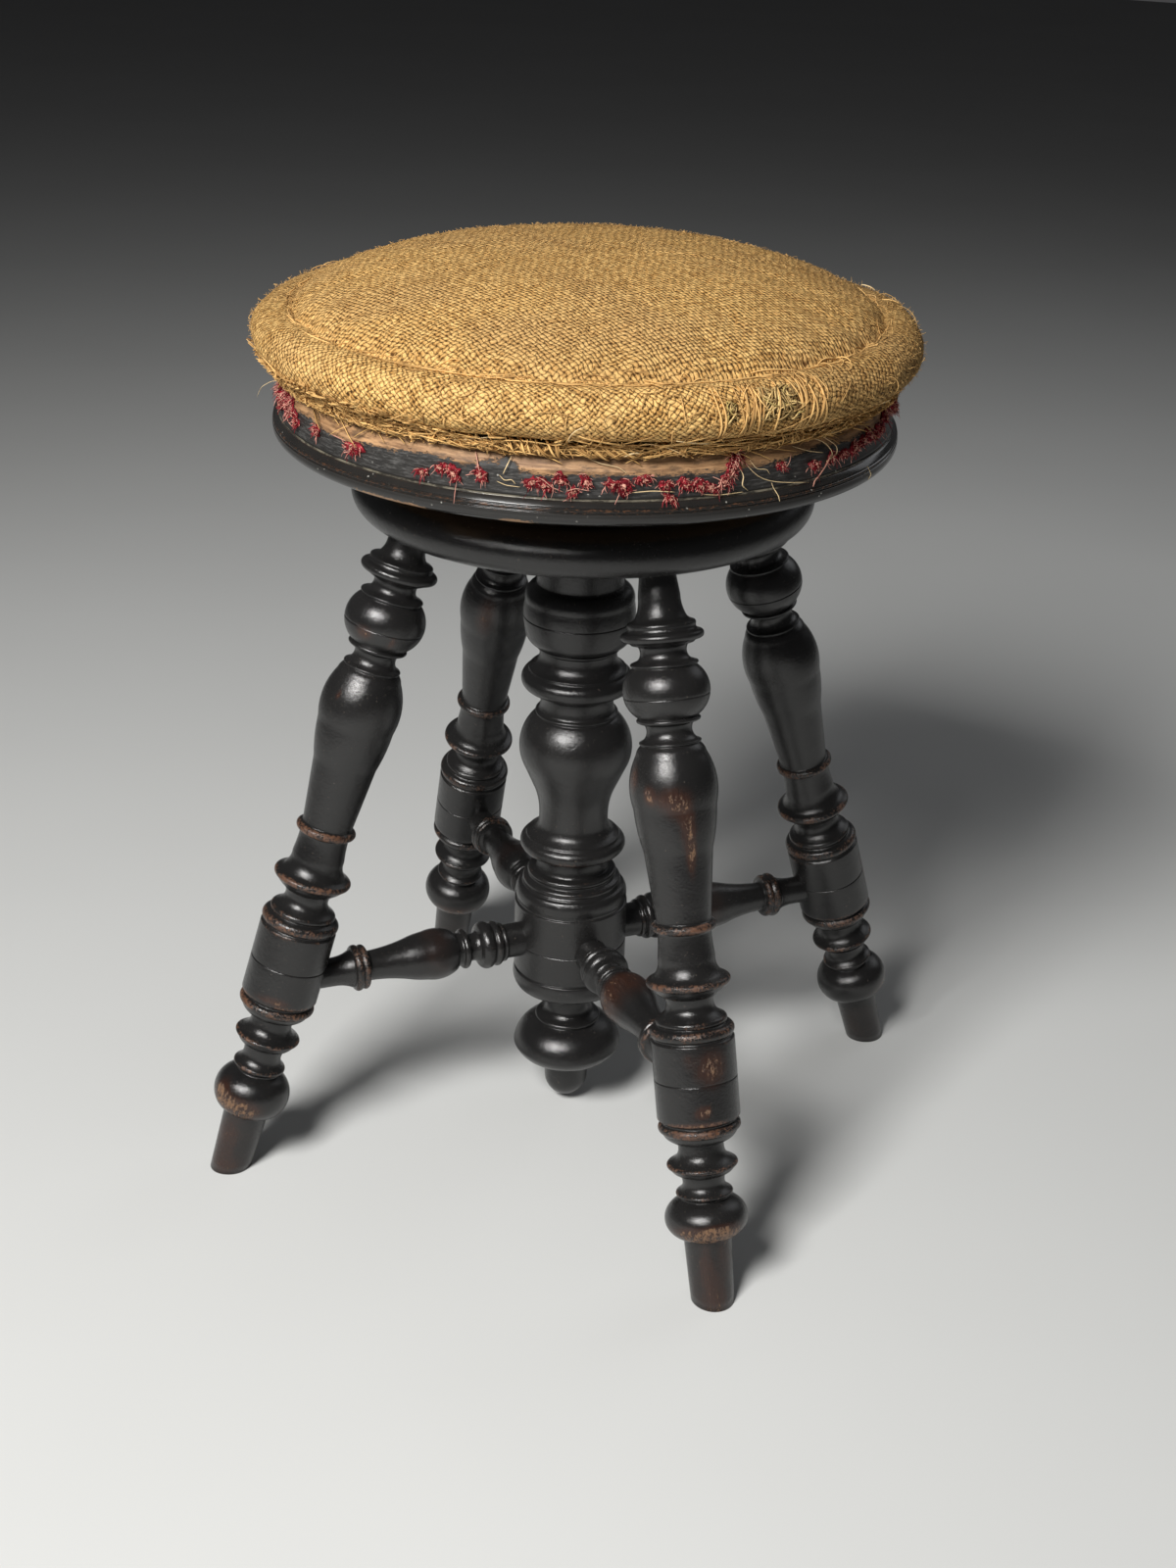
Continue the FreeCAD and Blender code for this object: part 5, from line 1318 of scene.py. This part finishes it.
# (angle where it sets off, length in millimetres) of the long threads that lie in the crease
CREASE_THREADS = [(302.0, 74.0), (262.0, 46.0), (322.0, 30.0), (240.0, -34.0)]
crease_angle = scatter(0, TURN, CREASE_COUNT)
crease_away = chance.normal(156.2, 1.6, CREASE_COUNT)
share = np.linspace(0, 1, 9)
crease_reach = scatter(5, 20, CREASE_COUNT) * np.sign(chance.normal(size=CREASE_COUNT))
crease_angle[:len(CREASE_THREADS)] = np.radians([angle for angle, reach in CREASE_THREADS])
crease_reach[:len(CREASE_THREADS)] = [reach for angle, reach in CREASE_THREADS]
crease_place = crease_angle[:, None] + crease_reach[:, None] * share / CREASE_RADIUS
crease_out = crease_away[:, None] + chance.normal(0, 2.2, CREASE_COUNT)[:, None] * np.sin(share * 2.4)
crease_out = crease_out + scatter(-1.5, 1.5, CREASE_COUNT)[:, None] * share
across_roll = (crease_out - ROLL_RADIUS) / ROLL_HALF_WIDTH
roll_top = ROLL_HEIGHT + ROLL_HALF_HEIGHT * np.sqrt(np.clip(1 - across_roll**2, 0, 1))
crease_level = np.maximum(settled_height(crease_out, crease_place), roll_top) + 0.45
crease = stand_round(crease_out, crease_place, crease_level)
crease_widths, crease_tones = scatter(0.2, 0.42, CREASE_COUNT), scatter(0.2, 0.97, CREASE_COUNT)
crease_widths[:len(CREASE_THREADS)] = LONG_WIDTH
crease_tones[:len(CREASE_THREADS)] = LONG_TONE
add_fibres("crease_ends", crease, crease_widths, crease_tones, jute)


# Straw in the bursts, and the yarns of the strip that still hold at either side of them. The
# straw is dull yellow with some green, lies every way, and bulges out of the hole.
STRAW_COUNTS = (170, 24)
# How many millimetres one degree is, along the roll and round its section
ALONG_DEGREE = 3.02
ROUND_DEGREE = 0.245
straw_finish = fibre_finish(
    "straw", dark=(0.08, 0.04, 0.011, 1), pale=(1.0, 0.71, 0.3, 1),
    odd=(0.46, 0.34, 0.12, 1), odd_from=0.9,
)
# A straw is a short line at any aim, bowed as a parabola, kept within its burst, and laid on the
# face of the roll a little sunk or raised
straw_parts = []
for (middle, level, wide, high), count in zip(BURSTS, STRAW_COUNTS):
    start_angle = scatter(middle - wide, middle + wide, count)[:, None]
    start_level = scatter(level - high, level + high, count)[:, None]
    aim = scatter(0, TURN, count)
    reach = scatter(5.0, 13.0, count)
    bend = scatter(-1.3, 1.3, count)[:, None] * np.linspace(-1, 1, 6) ** 2
    slide = np.linspace(-0.5, 0.5, 6) * reach[:, None]
    sideways = np.cos(aim)[:, None] * slide - np.sin(aim)[:, None] * bend
    upwards = np.sin(aim)[:, None] * slide + np.cos(aim)[:, None] * bend
    place = np.clip(start_angle + sideways / ALONG_DEGREE, middle - wide, middle + wide)
    turned = np.clip(start_level + upwards / ROUND_DEGREE, level - high, level + high)
    place, turned = np.radians(place), np.radians(turned)
    straw_parts.append(roll_points(place, turned, scatter(-1.7, 1.1, count)[:, None]))
straw = np.concatenate(straw_parts)
add_fibres("burst_straw", straw, scatter(0.26, 0.6, len(straw)), scatter(0, 1, len(straw)), straw_finish)

# Angles round the seat, in degrees, of the yarns that still hold
held_at = np.array([
    312.6, 313.1, 316.2, 316.8, 317.4, 318.0, 318.6, 319.2, 319.8, 320.3, 323.0, 326.6, 327.1,
    327.7, 328.3, 329.0, 329.8, 331.0, 332.2,
])
# Each runs down over the roll's section in a slow wave
held_turn = np.radians(np.linspace(78, -44, 12))
held_place = held_at[:, None] + chance.normal(0, 0.16, (len(held_at), 1))
held_place = held_place + 0.5 * np.sin(held_turn * 2 + scatter(0, 6, len(held_at))[:, None])
held_place = np.radians(held_place)
held = roll_points(held_place, np.broadcast_to(held_turn, held_place.shape), 0.5)
add_fibres("burst_yarns", held, scatter(0.55, 0.88, len(held)), scatter(0.25, 0.8, len(held)), jute)


# Remains of the old cover: tufts of crimson plush still held by its tacks round the band, some
# with the pale ground cloth in the middle, and a few drawn threads.
# (angle, height, size in millimetres, whether the pale ground shows)
TUFTS = [
    (213.5, 458.0, 2.4, 0), (214.7, 454.0, 2.8, 0), (217.0, 450.0, 3.0, 0), (219.0, 446.0, 2.6, 0),
    (220.6, 451.0, 2.8, 0), (222.5, 454.5, 2.0, 0), (224.0, 449.0, 3.2, 0), (226.0, 452.5, 2.0, 0),
    (227.9, 448.0, 2.6, 0), (229.5, 444.5, 1.8, 0), (237.4, 446.8, 2.1, 0), (248.3, 445.2, 3.2, 0),
    (264.0, 442.8, 1.9, 0), (267.5, 446.3, 2.5, 0), (269.8, 444.3, 3.2, 1), (274.6, 445.6, 3.0, 1),
    (283.5, 444.6, 3.0, 1), (285.6, 443.8, 2.8, 0), (288.1, 446.6, 2.6, 0), (290.2, 440.9, 2.2, 0),
    (292.2, 445.9, 2.6, 1), (296.6, 444.9, 2.8, 0), (298.6, 443.8, 3.3, 0), (301.8, 447.2, 2.8, 0),
    (305.5, 444.5, 2.4, 0), (306.3, 437.8, 2.1, 0), (308.9, 444.0, 2.9, 0), (311.5, 443.4, 3.0, 0),
    (313.3, 441.8, 2.5, 0), (315.9, 443.5, 2.3, 0), (316.5, 446.5, 2.1, 0), (317.0, 449.5, 2.3, 0),
    (317.7, 452.5, 2.1, 0), (318.4, 456.0, 2.3, 0), (327.0, 448.0, 1.4, 0), (335.1, 444.0, 2.2, 0),
    (339.6, 445.8, 2.3, 0), (343.2, 445.0, 2.3, 0), (346.5, 445.9, 2.7, 0), (349.5, 447.5, 2.4, 0),
    (352.5, 449.0, 2.8, 0), (355.0, 447.0, 2.5, 0), (357.5, 448.5, 2.9, 0), (0.8, 452.0, 2.6, 0),
    (4.0, 455.0, 2.5, 0), (7.5, 452.0, 2.2, 0), (12.0, 449.0, 2.4, 0),
]
# Round the far side they go on between these angles, each at one of these gaps from the last
FAR_SIDE = (20.0, 208.0)
TUFT_GAPS = [2.6, 3.4, 7.0, 11.0]
GROUND_SHARE = 0.2
angle = FAR_SIDE[0]
while angle < FAR_SIDE[1]:
    height, size = chance.uniform(441, 449), chance.uniform(1.8, 3.1)
    TUFTS.append((angle, height, size, int(chance.random() < GROUND_SHARE)))
    angle += chance.choice(TUFT_GAPS)
TUFT_FIBRES = 84
# The tufts round the front, between these angles, are worn shorter than the rest
FRONT_TUFTS = (262.0, 319.0)
FRONT_SIZE = 1.28
OTHER_SIZE = 1.55
PILE_ROWS = 8
PILE_SEGMENTS = 16
BAND_RADIUS = 163.0
# The share of pale fibres in a tuft, and how much larger it is at the tuft's edge
PALE_SHARE = 0.26
PALE_AT_EDGE = 0.44


def cushion_points(angle, height, size, turned_by):
    """Rows of points over a small cushion of matted pile, from its foot on the band to its crown.

    Each row is a ring with two and five swings to the turn, as wide as the cosine and as far out
    as the sine of its angle up the dome. Every point is crumpled a little by chance.
    """
    round_it = full_turn(PILE_SEGMENTS)
    outline = 1 + 0.26 * np.sin(2 * round_it + turned_by[0]) + 0.13 * np.sin(5 * round_it + turned_by[1])
    outline = outline * chance.uniform(0.86, 1.14, PILE_SEGMENTS)
    over = np.radians(np.linspace(-84, 84, PILE_ROWS))[:, None]
    crumple = chance.normal(1, 0.17, (PILE_ROWS, PILE_SEGMENTS))
    spread = 0.8 * size * outline * np.cos(over) * crumple
    place = math.radians(angle) + 1.2 * spread * np.cos(round_it) / BAND_RADIUS
    level = height + spread * np.sin(round_it)
    out = face_radius(level) + 0.1 + 1.2 * np.sin(over) * crumple
    return stand_round(out, place, level)


def tuft_points(angle, height, size, ground, toward, turned_by):
    """Paths and tones of one tuft's fibres, which spread from its middle and curl.

    The roots fill a ragged round, but not its middle where the ground shows. Each fibre runs
    outwards and off the band by its length, leans more the further out its root is, turns
    evenly as it goes, and sinks by the square of its length.
    """
    ragged = 1 + 0.3 * np.sin(2 * toward + turned_by[0]) + 0.2 * np.sin(5 * toward + turned_by[1])
    away = size * np.sqrt(scatter(0.12 if ground else 0.0, 1, TUFT_FIBRES)) * ragged
    start_angle = math.radians(angle) + 0.95 * away * np.cos(toward) / BAND_RADIUS
    start_height = height + 0.7 * away * np.sin(toward)
    share = np.linspace(0, 1, 4)
    grow = chance.gamma(3.0, 0.6, TUFT_FIBRES)[:, None] * share
    toward = toward + chance.normal(0, 0.8, TUFT_FIBRES)
    lean = (0.3 + 0.8 * away / size)[:, None]
    curl = scatter(-1.4, 1.4, TUFT_FIBRES)[:, None] * share
    place = start_angle[:, None] + np.cos(toward[:, None] + curl) * grow * lean * 0.7 / BAND_RADIUS
    level = start_height[:, None] + np.sin(toward[:, None] + curl) * grow * lean * 0.7 - 0.1 * grow**2
    out = face_radius(level) + 0.7 + grow * np.clip(1.2 - 0.6 * lean, 0.2, 1)
    pale = chance.random(TUFT_FIBRES) < (PALE_SHARE + PALE_AT_EDGE * (away > 0.8 * size))
    return stand_round(out, place, level), np.where(pale, 1.0, scatter(0, 0.85, TUFT_FIBRES))


cushions, tuft_paths, tuft_tones = [], [], []
for angle, height, size, ground in TUFTS:
    size *= FRONT_SIZE if FRONT_TUFTS[0] < angle < FRONT_TUFTS[1] else OTHER_SIZE
    toward, turned_by = scatter(0, TURN, TUFT_FIBRES), scatter(0, TURN, 2)
    cushions.append(cushion_points(angle, height, size, turned_by))
    paths, tones = tuft_points(angle, height, size, ground, toward, turned_by)
    tuft_paths.append(paths)
    tuft_tones.append(tones)
tufts = np.concatenate(tuft_paths)
plush = fibre_finish(
    "crimson_plush", dark=(0.085, 0.004, 0.008, 1), pale=(0.41, 0.024, 0.038, 1),
    odd=(0.64, 0.29, 0.23, 1), odd_from=0.9,
)
add_fibres("plush_tufts", tufts, scatter(0.13, 0.27, len(tufts)), np.concatenate(tuft_tones), plush)


def pile_mesh(name, cushions):
    """One mesh of many small closed cushions: each is rows of points round it, with two poles."""
    count, rows, segments = cushions.shape[:3]
    each = rows * segments + 2
    first = (np.arange(count) * each)[:, None, None]
    column = np.arange(segments)
    beside = (column + 1) % segments
    lower = first + np.arange(rows - 1)[:, None] * segments
    upper = lower + segments
    sides = np.stack([lower + column, lower + beside, upper + beside, upper + column], -1).reshape(-1, 4)
    start, last = first[..., 0], first[..., 0] + (rows - 1) * segments
    under, top = start + each - 2, start + each - 1
    under_fan = np.stack([start + beside, start + column, under + 0 * column], -1).reshape(-1, 3)
    top_fan = np.stack([last + column, last + beside, top + 0 * column], -1).reshape(-1, 3)
    poles = np.stack([cushions[:, 0].mean(1), cushions[:, -1].mean(1)], 1)
    vertices = np.concatenate([cushions.reshape(count, -1, 3), poles], 1).reshape(-1, 3) * MM
    mesh = bpy.data.meshes.new(name)
    mesh.from_pydata(vertices.tolist(), [], sides.tolist() + under_fan.tolist() + top_fan.tolist())
    mesh.shade_smooth()
    return mesh


# One point in ten of the pile shows the pale ground through it
PILE_PALE = 0.1
pile = pile_mesh("plush_pile", np.array(cushions))
pile_tone = np.clip(chance.normal(0.2, 0.26, len(pile.vertices)), 0, 0.85)
store(pile, "tone", np.where(chance.random(len(pile_tone)) < PILE_PALE, 1.0, pile_tone))
add_piece("plush_pile", pile, plush, "seat", "hessian")

# The pale ground cloth in the middle of the tufts: short ends that curl out from where the tack
# drew it in, many where it shows and a few elsewhere.
GROUND_ENDS = 26
FEW_ENDS = 7
ground_finish = fibre_finish(
    "ground_cloth", dark=(0.38, 0.14, 0.1, 1), pale=(0.75, 0.42, 0.32, 1),
    odd=(0.8, 0.5, 0.4, 1), odd_from=0.98,
)
knots = []
for angle, height, size, ground in TUFTS:
    count = GROUND_ENDS if ground else FEW_ENDS
    toward = scatter(0, TURN, count)
    share = np.linspace(0, 1, 4)
    spread = (0.5 if ground else 0.7) * size * scatter(0.4, 1.3, count)
    bend = toward[:, None] + scatter(-1.8, 1.8, count)[:, None] * share
    place = math.radians(angle) + np.cos(bend) * spread[:, None] * share / BAND_RADIUS
    level = height + np.sin(bend) * spread[:, None] * share
    out = face_radius(level) + 2.2 - (0.9 if ground else 0.2) * share**2
    knots.append(stand_round(out, place, level))
knots = np.concatenate(knots)
add_fibres("ground_cloth", knots, scatter(0.2, 0.5, len(knots)), scatter(0, 1, len(knots)), ground_finish)

# Drawn threads, each along a few points of (angle, height, how far it stands off) with its turns
# smoothed by a running mean, and its half width in millimetres. Pink ones were drawn from the
# plush, the others are pale jute.
PALE_THREADS = [
    ([(318.0, 458.1, 1.5), (319.6, 451.1, 2.0), (322.3, 443.9, 1.6), (325.4, 440.6, 1.2),
      (329.0, 438.6, 1.4), (333.2, 436.9, 1.8)], 0.32),
    ([(320.5, 453.0, 1.0), (321.6, 448.5, 2.2), (323.6, 448.0, 2.4), (324.4, 445.0, 1.8)], 0.26),
    ([(333.3, 458.9, 1.2), (337.3, 454.6, 2.2), (339.1, 447.5, 2.4), (337.6, 444.5, 1.6)], 0.34),
    ([(336.4, 458.6, 1.2), (339.9, 452.0, 2.6), (340.2, 447.0, 2.2), (337.6, 445.0, 1.5)], 0.34),
    ([(325.2, 440.2, 0.6), (325.8, 436.0, 1.2), (326.3, 431.0, 0.8)], 0.32),
    ([(329.6, 456.0, 1.2), (333.0, 452.4, 1.8), (337.0, 449.4, 1.0)], 0.3),
    ([(350.3, 434.5, 0.8), (351.2, 430.0, 1.2), (351.6, 426.5, 1.0)], 0.25),
    ([(292.4, 457.0, 1.2), (294.6, 454.8, 1.6), (297.6, 453.4, 1.4), (299.0, 450.0, 0.8)], 0.28),
    ([(216.5, 456.0, 0.8), (214.5, 455.0, 5.0), (211.5, 449.0, 9.0), (209.0, 442.0, 11.0)], 0.24),
    ([(279.7, 456.0, 1.0), (279.2, 452.0, 1.6), (278.5, 447.5, 1.2)], 0.42),
    ([(277.8, 446.6, 0.5), (278.8, 444.5, 1.6), (280.0, 445.4, 1.2), (280.6, 443.0, 0.6)], 0.36),
    ([(277.4, 443.5, 0.5), (279.0, 442.3, 1.4), (281.4, 441.8, 0.8)], 0.3),
    ([(299.8, 441.2, 0.8), (303.0, 442.4, 2.6), (307.0, 441.2, 2.0)], 0.36),
    ([(318.5, 450.0, 1.0), (319.2, 446.0, 2.2), (318.9, 441.5, 2.0), (320.4, 438.2, 1.0)], 0.4),
    ([(312.0, 438.6, 0.8), (315.0, 437.8, 1.4), (319.6, 437.8, 1.0)], 0.3),
]
PINK_THREADS = [
    ([(338.9, 448.5, 1.8), (337.2, 444.0, 3.0), (335.4, 438.8, 2.6), (333.8, 434.8, 1.6)], 0.55),
    ([(273.4, 456.0, 0.6), (274.0, 452.0, 1.0), (274.5, 447.5, 1.4)], 0.5),
    ([(316.0, 443.0, 1.0), (316.8, 447.0, 2.4), (318.2, 452.0, 2.2), (318.9, 457.0, 1.2)], 0.6),
    ([(313.6, 447.0, 1.0), (315.0, 445.4, 2.8), (314.6, 442.2, 2.6), (312.4, 440.8, 1.4)], 0.42),
    ([(329.2, 452.4, 0.8), (328.3, 448.0, 1.8), (327.2, 445.2, 1.2)], 0.4),
    ([(284.0, 447.5, 1.0), (285.4, 446.6, 2.4), (286.6, 443.4, 2.2), (288.6, 441.0, 1.4)], 0.34),
    ([(289.0, 441.4, 1.2), (290.6, 443.4, 2.4), (293.0, 442.0, 1.4)], 0.34),
    ([(224.0, 445.0, 1.0), (226.5, 442.6, 2.2), (229.5, 441.4, 1.4)], 0.36),
    ([(246.5, 447.6, 0.6), (244.2, 448.4, 1.2), (242.6, 448.2, 0.8)], 0.3),
]
THREAD_STEPS = 14
# How much of that half width the finished threads keep
THREAD_GIRTH = 0.75
THREADS = [("pale_threads", PALE_THREADS, jute), ("pink_threads", PINK_THREADS, ground_finish)]
for name, threads, finish in THREADS:
    share = np.linspace(0, 1, THREAD_STEPS)
    thread_paths = []
    for stops, half_width in threads:
        at = np.linspace(0, 1, len(stops))
        place, level, off = [running_mean(np.interp(share, at, values), 0.9) for values in zip(*stops)]
        out = face_radius(level) + off
        place = np.radians(place)
        thread_paths.append(stand_round(out, place, level))
    widths = THREAD_GIRTH * np.array([half_width for stops, half_width in threads])
    tones = np.ones(len(threads)) if finish is jute else scatter(0.4, 0.9, len(threads))
    add_fibres(name, np.array(thread_paths), widths, tones, finish)


# Ironwork. A cast nut and a cast plate, dark and dry, and small plain steel parts. They keep
# their own solids and get their finish here.
def iron_finish(name, colour, roughness, rust):
    """Dark iron with rough casting skin and rust where coarse noise is high."""
    shade = Shade(name)
    own = shade.place()
    skin = shade.noise(own, 700, 4, 0.6)
    cloud = shade.noise(own, 60, 4, 0.6)
    rusty = shade.times(shade.step(cloud, 0.5, 0.72), rust)
    metal = shade.blend(skin, colour, tuple(channel * 1.6 for channel in colour[:3]) + (1,))
    mixed = shade.blend(rusty, metal, (0.11, 0.04, 0.018, 1))
    rough = shade.plus(shade.times(rusty, 0.3), roughness)
    return shade.finish(mixed, rough, shade.bump(skin, 0.0002, 0.5), Metallic=0.85)


cast_iron = iron_finish("cast_iron", colour=(0.05, 0.048, 0.045, 1), roughness=0.5, rust=0.7)
steel = iron_finish("dull_steel", colour=(0.2, 0.19, 0.18, 1), roughness=0.34, rust=0.35)
IRONWORK = {
    "screw_nut": cast_iron, "seat_plate": cast_iron, "nut_screws": steel, "plate_screws": steel,
    "stop_washer": steel, "stop_pin": steel,
}


def refinish(node, finish):
    """Gives a solid of the frame, kept as it is, its finish in place of the plain one."""
    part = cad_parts[node]
    part.data.materials.clear()
    part.data.materials.append(finish)


for node, finish in IRONWORK.items():
    refinish(node, finish)


# Seat screw. A wrought screw with a coarse right-hand thread of round section, riveted into the
# plate above and turned down plain below the thread for the washer and its pin.
SCREW_CREST = 11.05
SCREW_ROOT = 9.3
SCREW_PITCH = 6.0
SCREW_THREAD_BOTTOM = 281.6
SCREW_THREAD_TOP = 405.5
SCREW_END = 267.9
SCREW_TOP = 423.2
SCREW_SEGMENTS = 48
SCREW_ROWS = 250
SCREW_RUNOUT = 3.0
# Levels and radii of the plain end below the thread and of the shank above it
SCREW_BELOW = [(SCREW_END, 7.2), (SCREW_END + 0.8, 8.0), (275.0, 8.0), (SCREW_THREAD_BOTTOM - 0.4, 8.0)]
SCREW_ABOVE = [(SCREW_THREAD_TOP + 0.6, 11.0), (409.2, 11.0), (409.25, 8.95), (SCREW_TOP, 8.95)]
below, above = np.array(SCREW_BELOW), np.array(SCREW_ABOVE)
threaded = np.linspace(SCREW_THREAD_BOTTOM, SCREW_THREAD_TOP, SCREW_ROWS)
screw_z = np.concatenate([below[:, 0], threaded, above[:, 0]])
screw_plain = np.concatenate([below[:, 1], np.zeros(SCREW_ROWS), above[:, 1]])
# The groove between the threads sinks by a raised cosine that goes once round for each pitch.
# At both ends it runs out to the full radius
screw_angle = full_turn(SCREW_SEGMENTS)
winding = 0.5 + 0.5 * np.cos(TURN * screw_z[:, None] / SCREW_PITCH - screw_angle)
from_end = np.minimum(screw_z - SCREW_THREAD_BOTTOM, SCREW_THREAD_TOP - screw_z)[:, None]
runout = np.clip(from_end / SCREW_RUNOUT, 0, 1)
thread = SCREW_ROOT + (SCREW_CREST - SCREW_ROOT) * (1 - runout * (1 - winding**0.8))
screw_radius = np.where(screw_plain[:, None] > 0, screw_plain[:, None], thread)
screw_level = np.broadcast_to(screw_z[:, None], screw_radius.shape)
screw_points = stand_round(screw_radius, screw_angle, screw_level)
screw_mesh = grid_mesh("seat_screw", screw_points * MM, pole_start=True, pole_end=True)
add_piece("seat_screw_thread", screw_mesh, steel, "seat", "steel", "seat_screw")


# Seat board. A plain disc of pale wood inside the rim, unfinished, that the plate is screwed to.
def bare_board():
    """Pale softwood: straight rings stretched along the board, darkened by age."""
    shade = Shade("bare_board")
    own = shade.place()
    lines = shade.noise(shade.stretched(own, (1.0, 0.06, 1.0)), 190, 5, 0.6)
    broad = shade.noise(own, 12, 3, 0.6)
    wood_tone = shade.blend(lines, (0.14, 0.075, 0.035, 1), (0.34, 0.21, 0.11, 1))
    colour = shade.blend(shade.times(broad, 0.5), wood_tone, (0.08, 0.05, 0.03, 1))
    return shade.finish(colour, 0.72, shade.bump(lines, 0.0002, 0.5), Specular_IOR_Level=0.3)


refinish("seat_board", bare_board())


# Floor and light. A pale matt floor darkened all round at a distance by painted shade, one large
# soft lamp in front and to the left of the camera, a weak one behind so that the far side can be
# seen, and a dim grey surround. The floor's unshaded share is one over one plus the distance's cube.
FLOOR_HALF = 7.0
FLOOR_SHADE_REACH = 1.9
floor_mesh = bpy.data.meshes.new("floor")
floor_corners = [(-1, -1), (1, -1), (1, 1), (-1, 1)]
floor_mesh.from_pydata([(FLOOR_HALF * x, FLOOR_HALF * y, 0) for x, y in floor_corners], [], [(0, 1, 2, 3)])
floor = bpy.data.objects.new("floor", floor_mesh)
scene.collection.objects.link(floor)
floor_shade = Shade("floor")
floor_tone = floor_shade.noise(floor_shade.place(), 3, 3, 0.5)
floor_pale = floor_shade.blend(floor_tone, (0.67, 0.68, 0.67, 1), (0.715, 0.725, 0.715, 1))
# Painted shade: the colour the floor takes far off, where the light is made to fall away.
floor_painted_shade = floor_shade.blend(floor_tone, (0.11, 0.111, 0.111, 1), (0.124, 0.125, 0.126, 1))
floor_away = floor_shade.nodes.new("ShaderNodeVectorMath")
floor_away.operation = "LENGTH"
floor_shade.join(floor_shade.place(), floor_away.inputs[0])
floor_share = floor_shade.times(floor_away.outputs["Value"], 1 / FLOOR_SHADE_REACH)
floor_shade_fall = floor_shade.maths("POWER", floor_share, 3.0)
floor_unshaded_share = floor_shade.maths("DIVIDE", 1.0, floor_shade.plus(floor_shade_fall, 1.0))
floor_colour = floor_shade.blend(floor_unshaded_share, floor_painted_shade, floor_pale)
floor_mesh.materials.append(floor_shade.finish(floor_colour, 0.7, Specular_IOR_Level=0.25))
floor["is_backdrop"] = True


def area_lamp(name, place, aim, size, power, colour):
    """A square soft lamp at a place, turned so that it faces the aim."""
    lamp_data = bpy.data.lights.new(name, "AREA")
    lamp_data.size = size
    lamp_data.energy = power
    lamp_data.color = colour
    lamp = bpy.data.objects.new(name, lamp_data)
    scene.collection.objects.link(lamp)
    lamp.location = place
    lamp.rotation_mode = "QUATERNION"
    lamp.rotation_quaternion = (Vector(place) - Vector(aim)).to_track_quat("Z", "Y")


area_lamp("key", place=(-0.22, -1.62, 1.72), aim=(0, 0, 0.35), size=0.7, power=66, colour=(1.0, 0.985, 0.965))
area_lamp("back", place=(0.9, 1.9, 1.6), aim=(0, 0, 0.3), size=1.2, power=4, colour=(0.95, 0.97, 1.0))
SURROUND_GREY = (0.5, 0.5, 0.51, 1)
SURROUND_STRENGTH = 0.11
world = bpy.data.worlds.new("surround")
world.use_nodes = True
world.node_tree.nodes["Background"].inputs["Color"].default_value = SURROUND_GREY
world.node_tree.nodes["Background"].inputs["Strength"].default_value = SURROUND_STRENGTH
scene.world = world

# The corners of the stool as it is dressed, leaving out the floor
low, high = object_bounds()
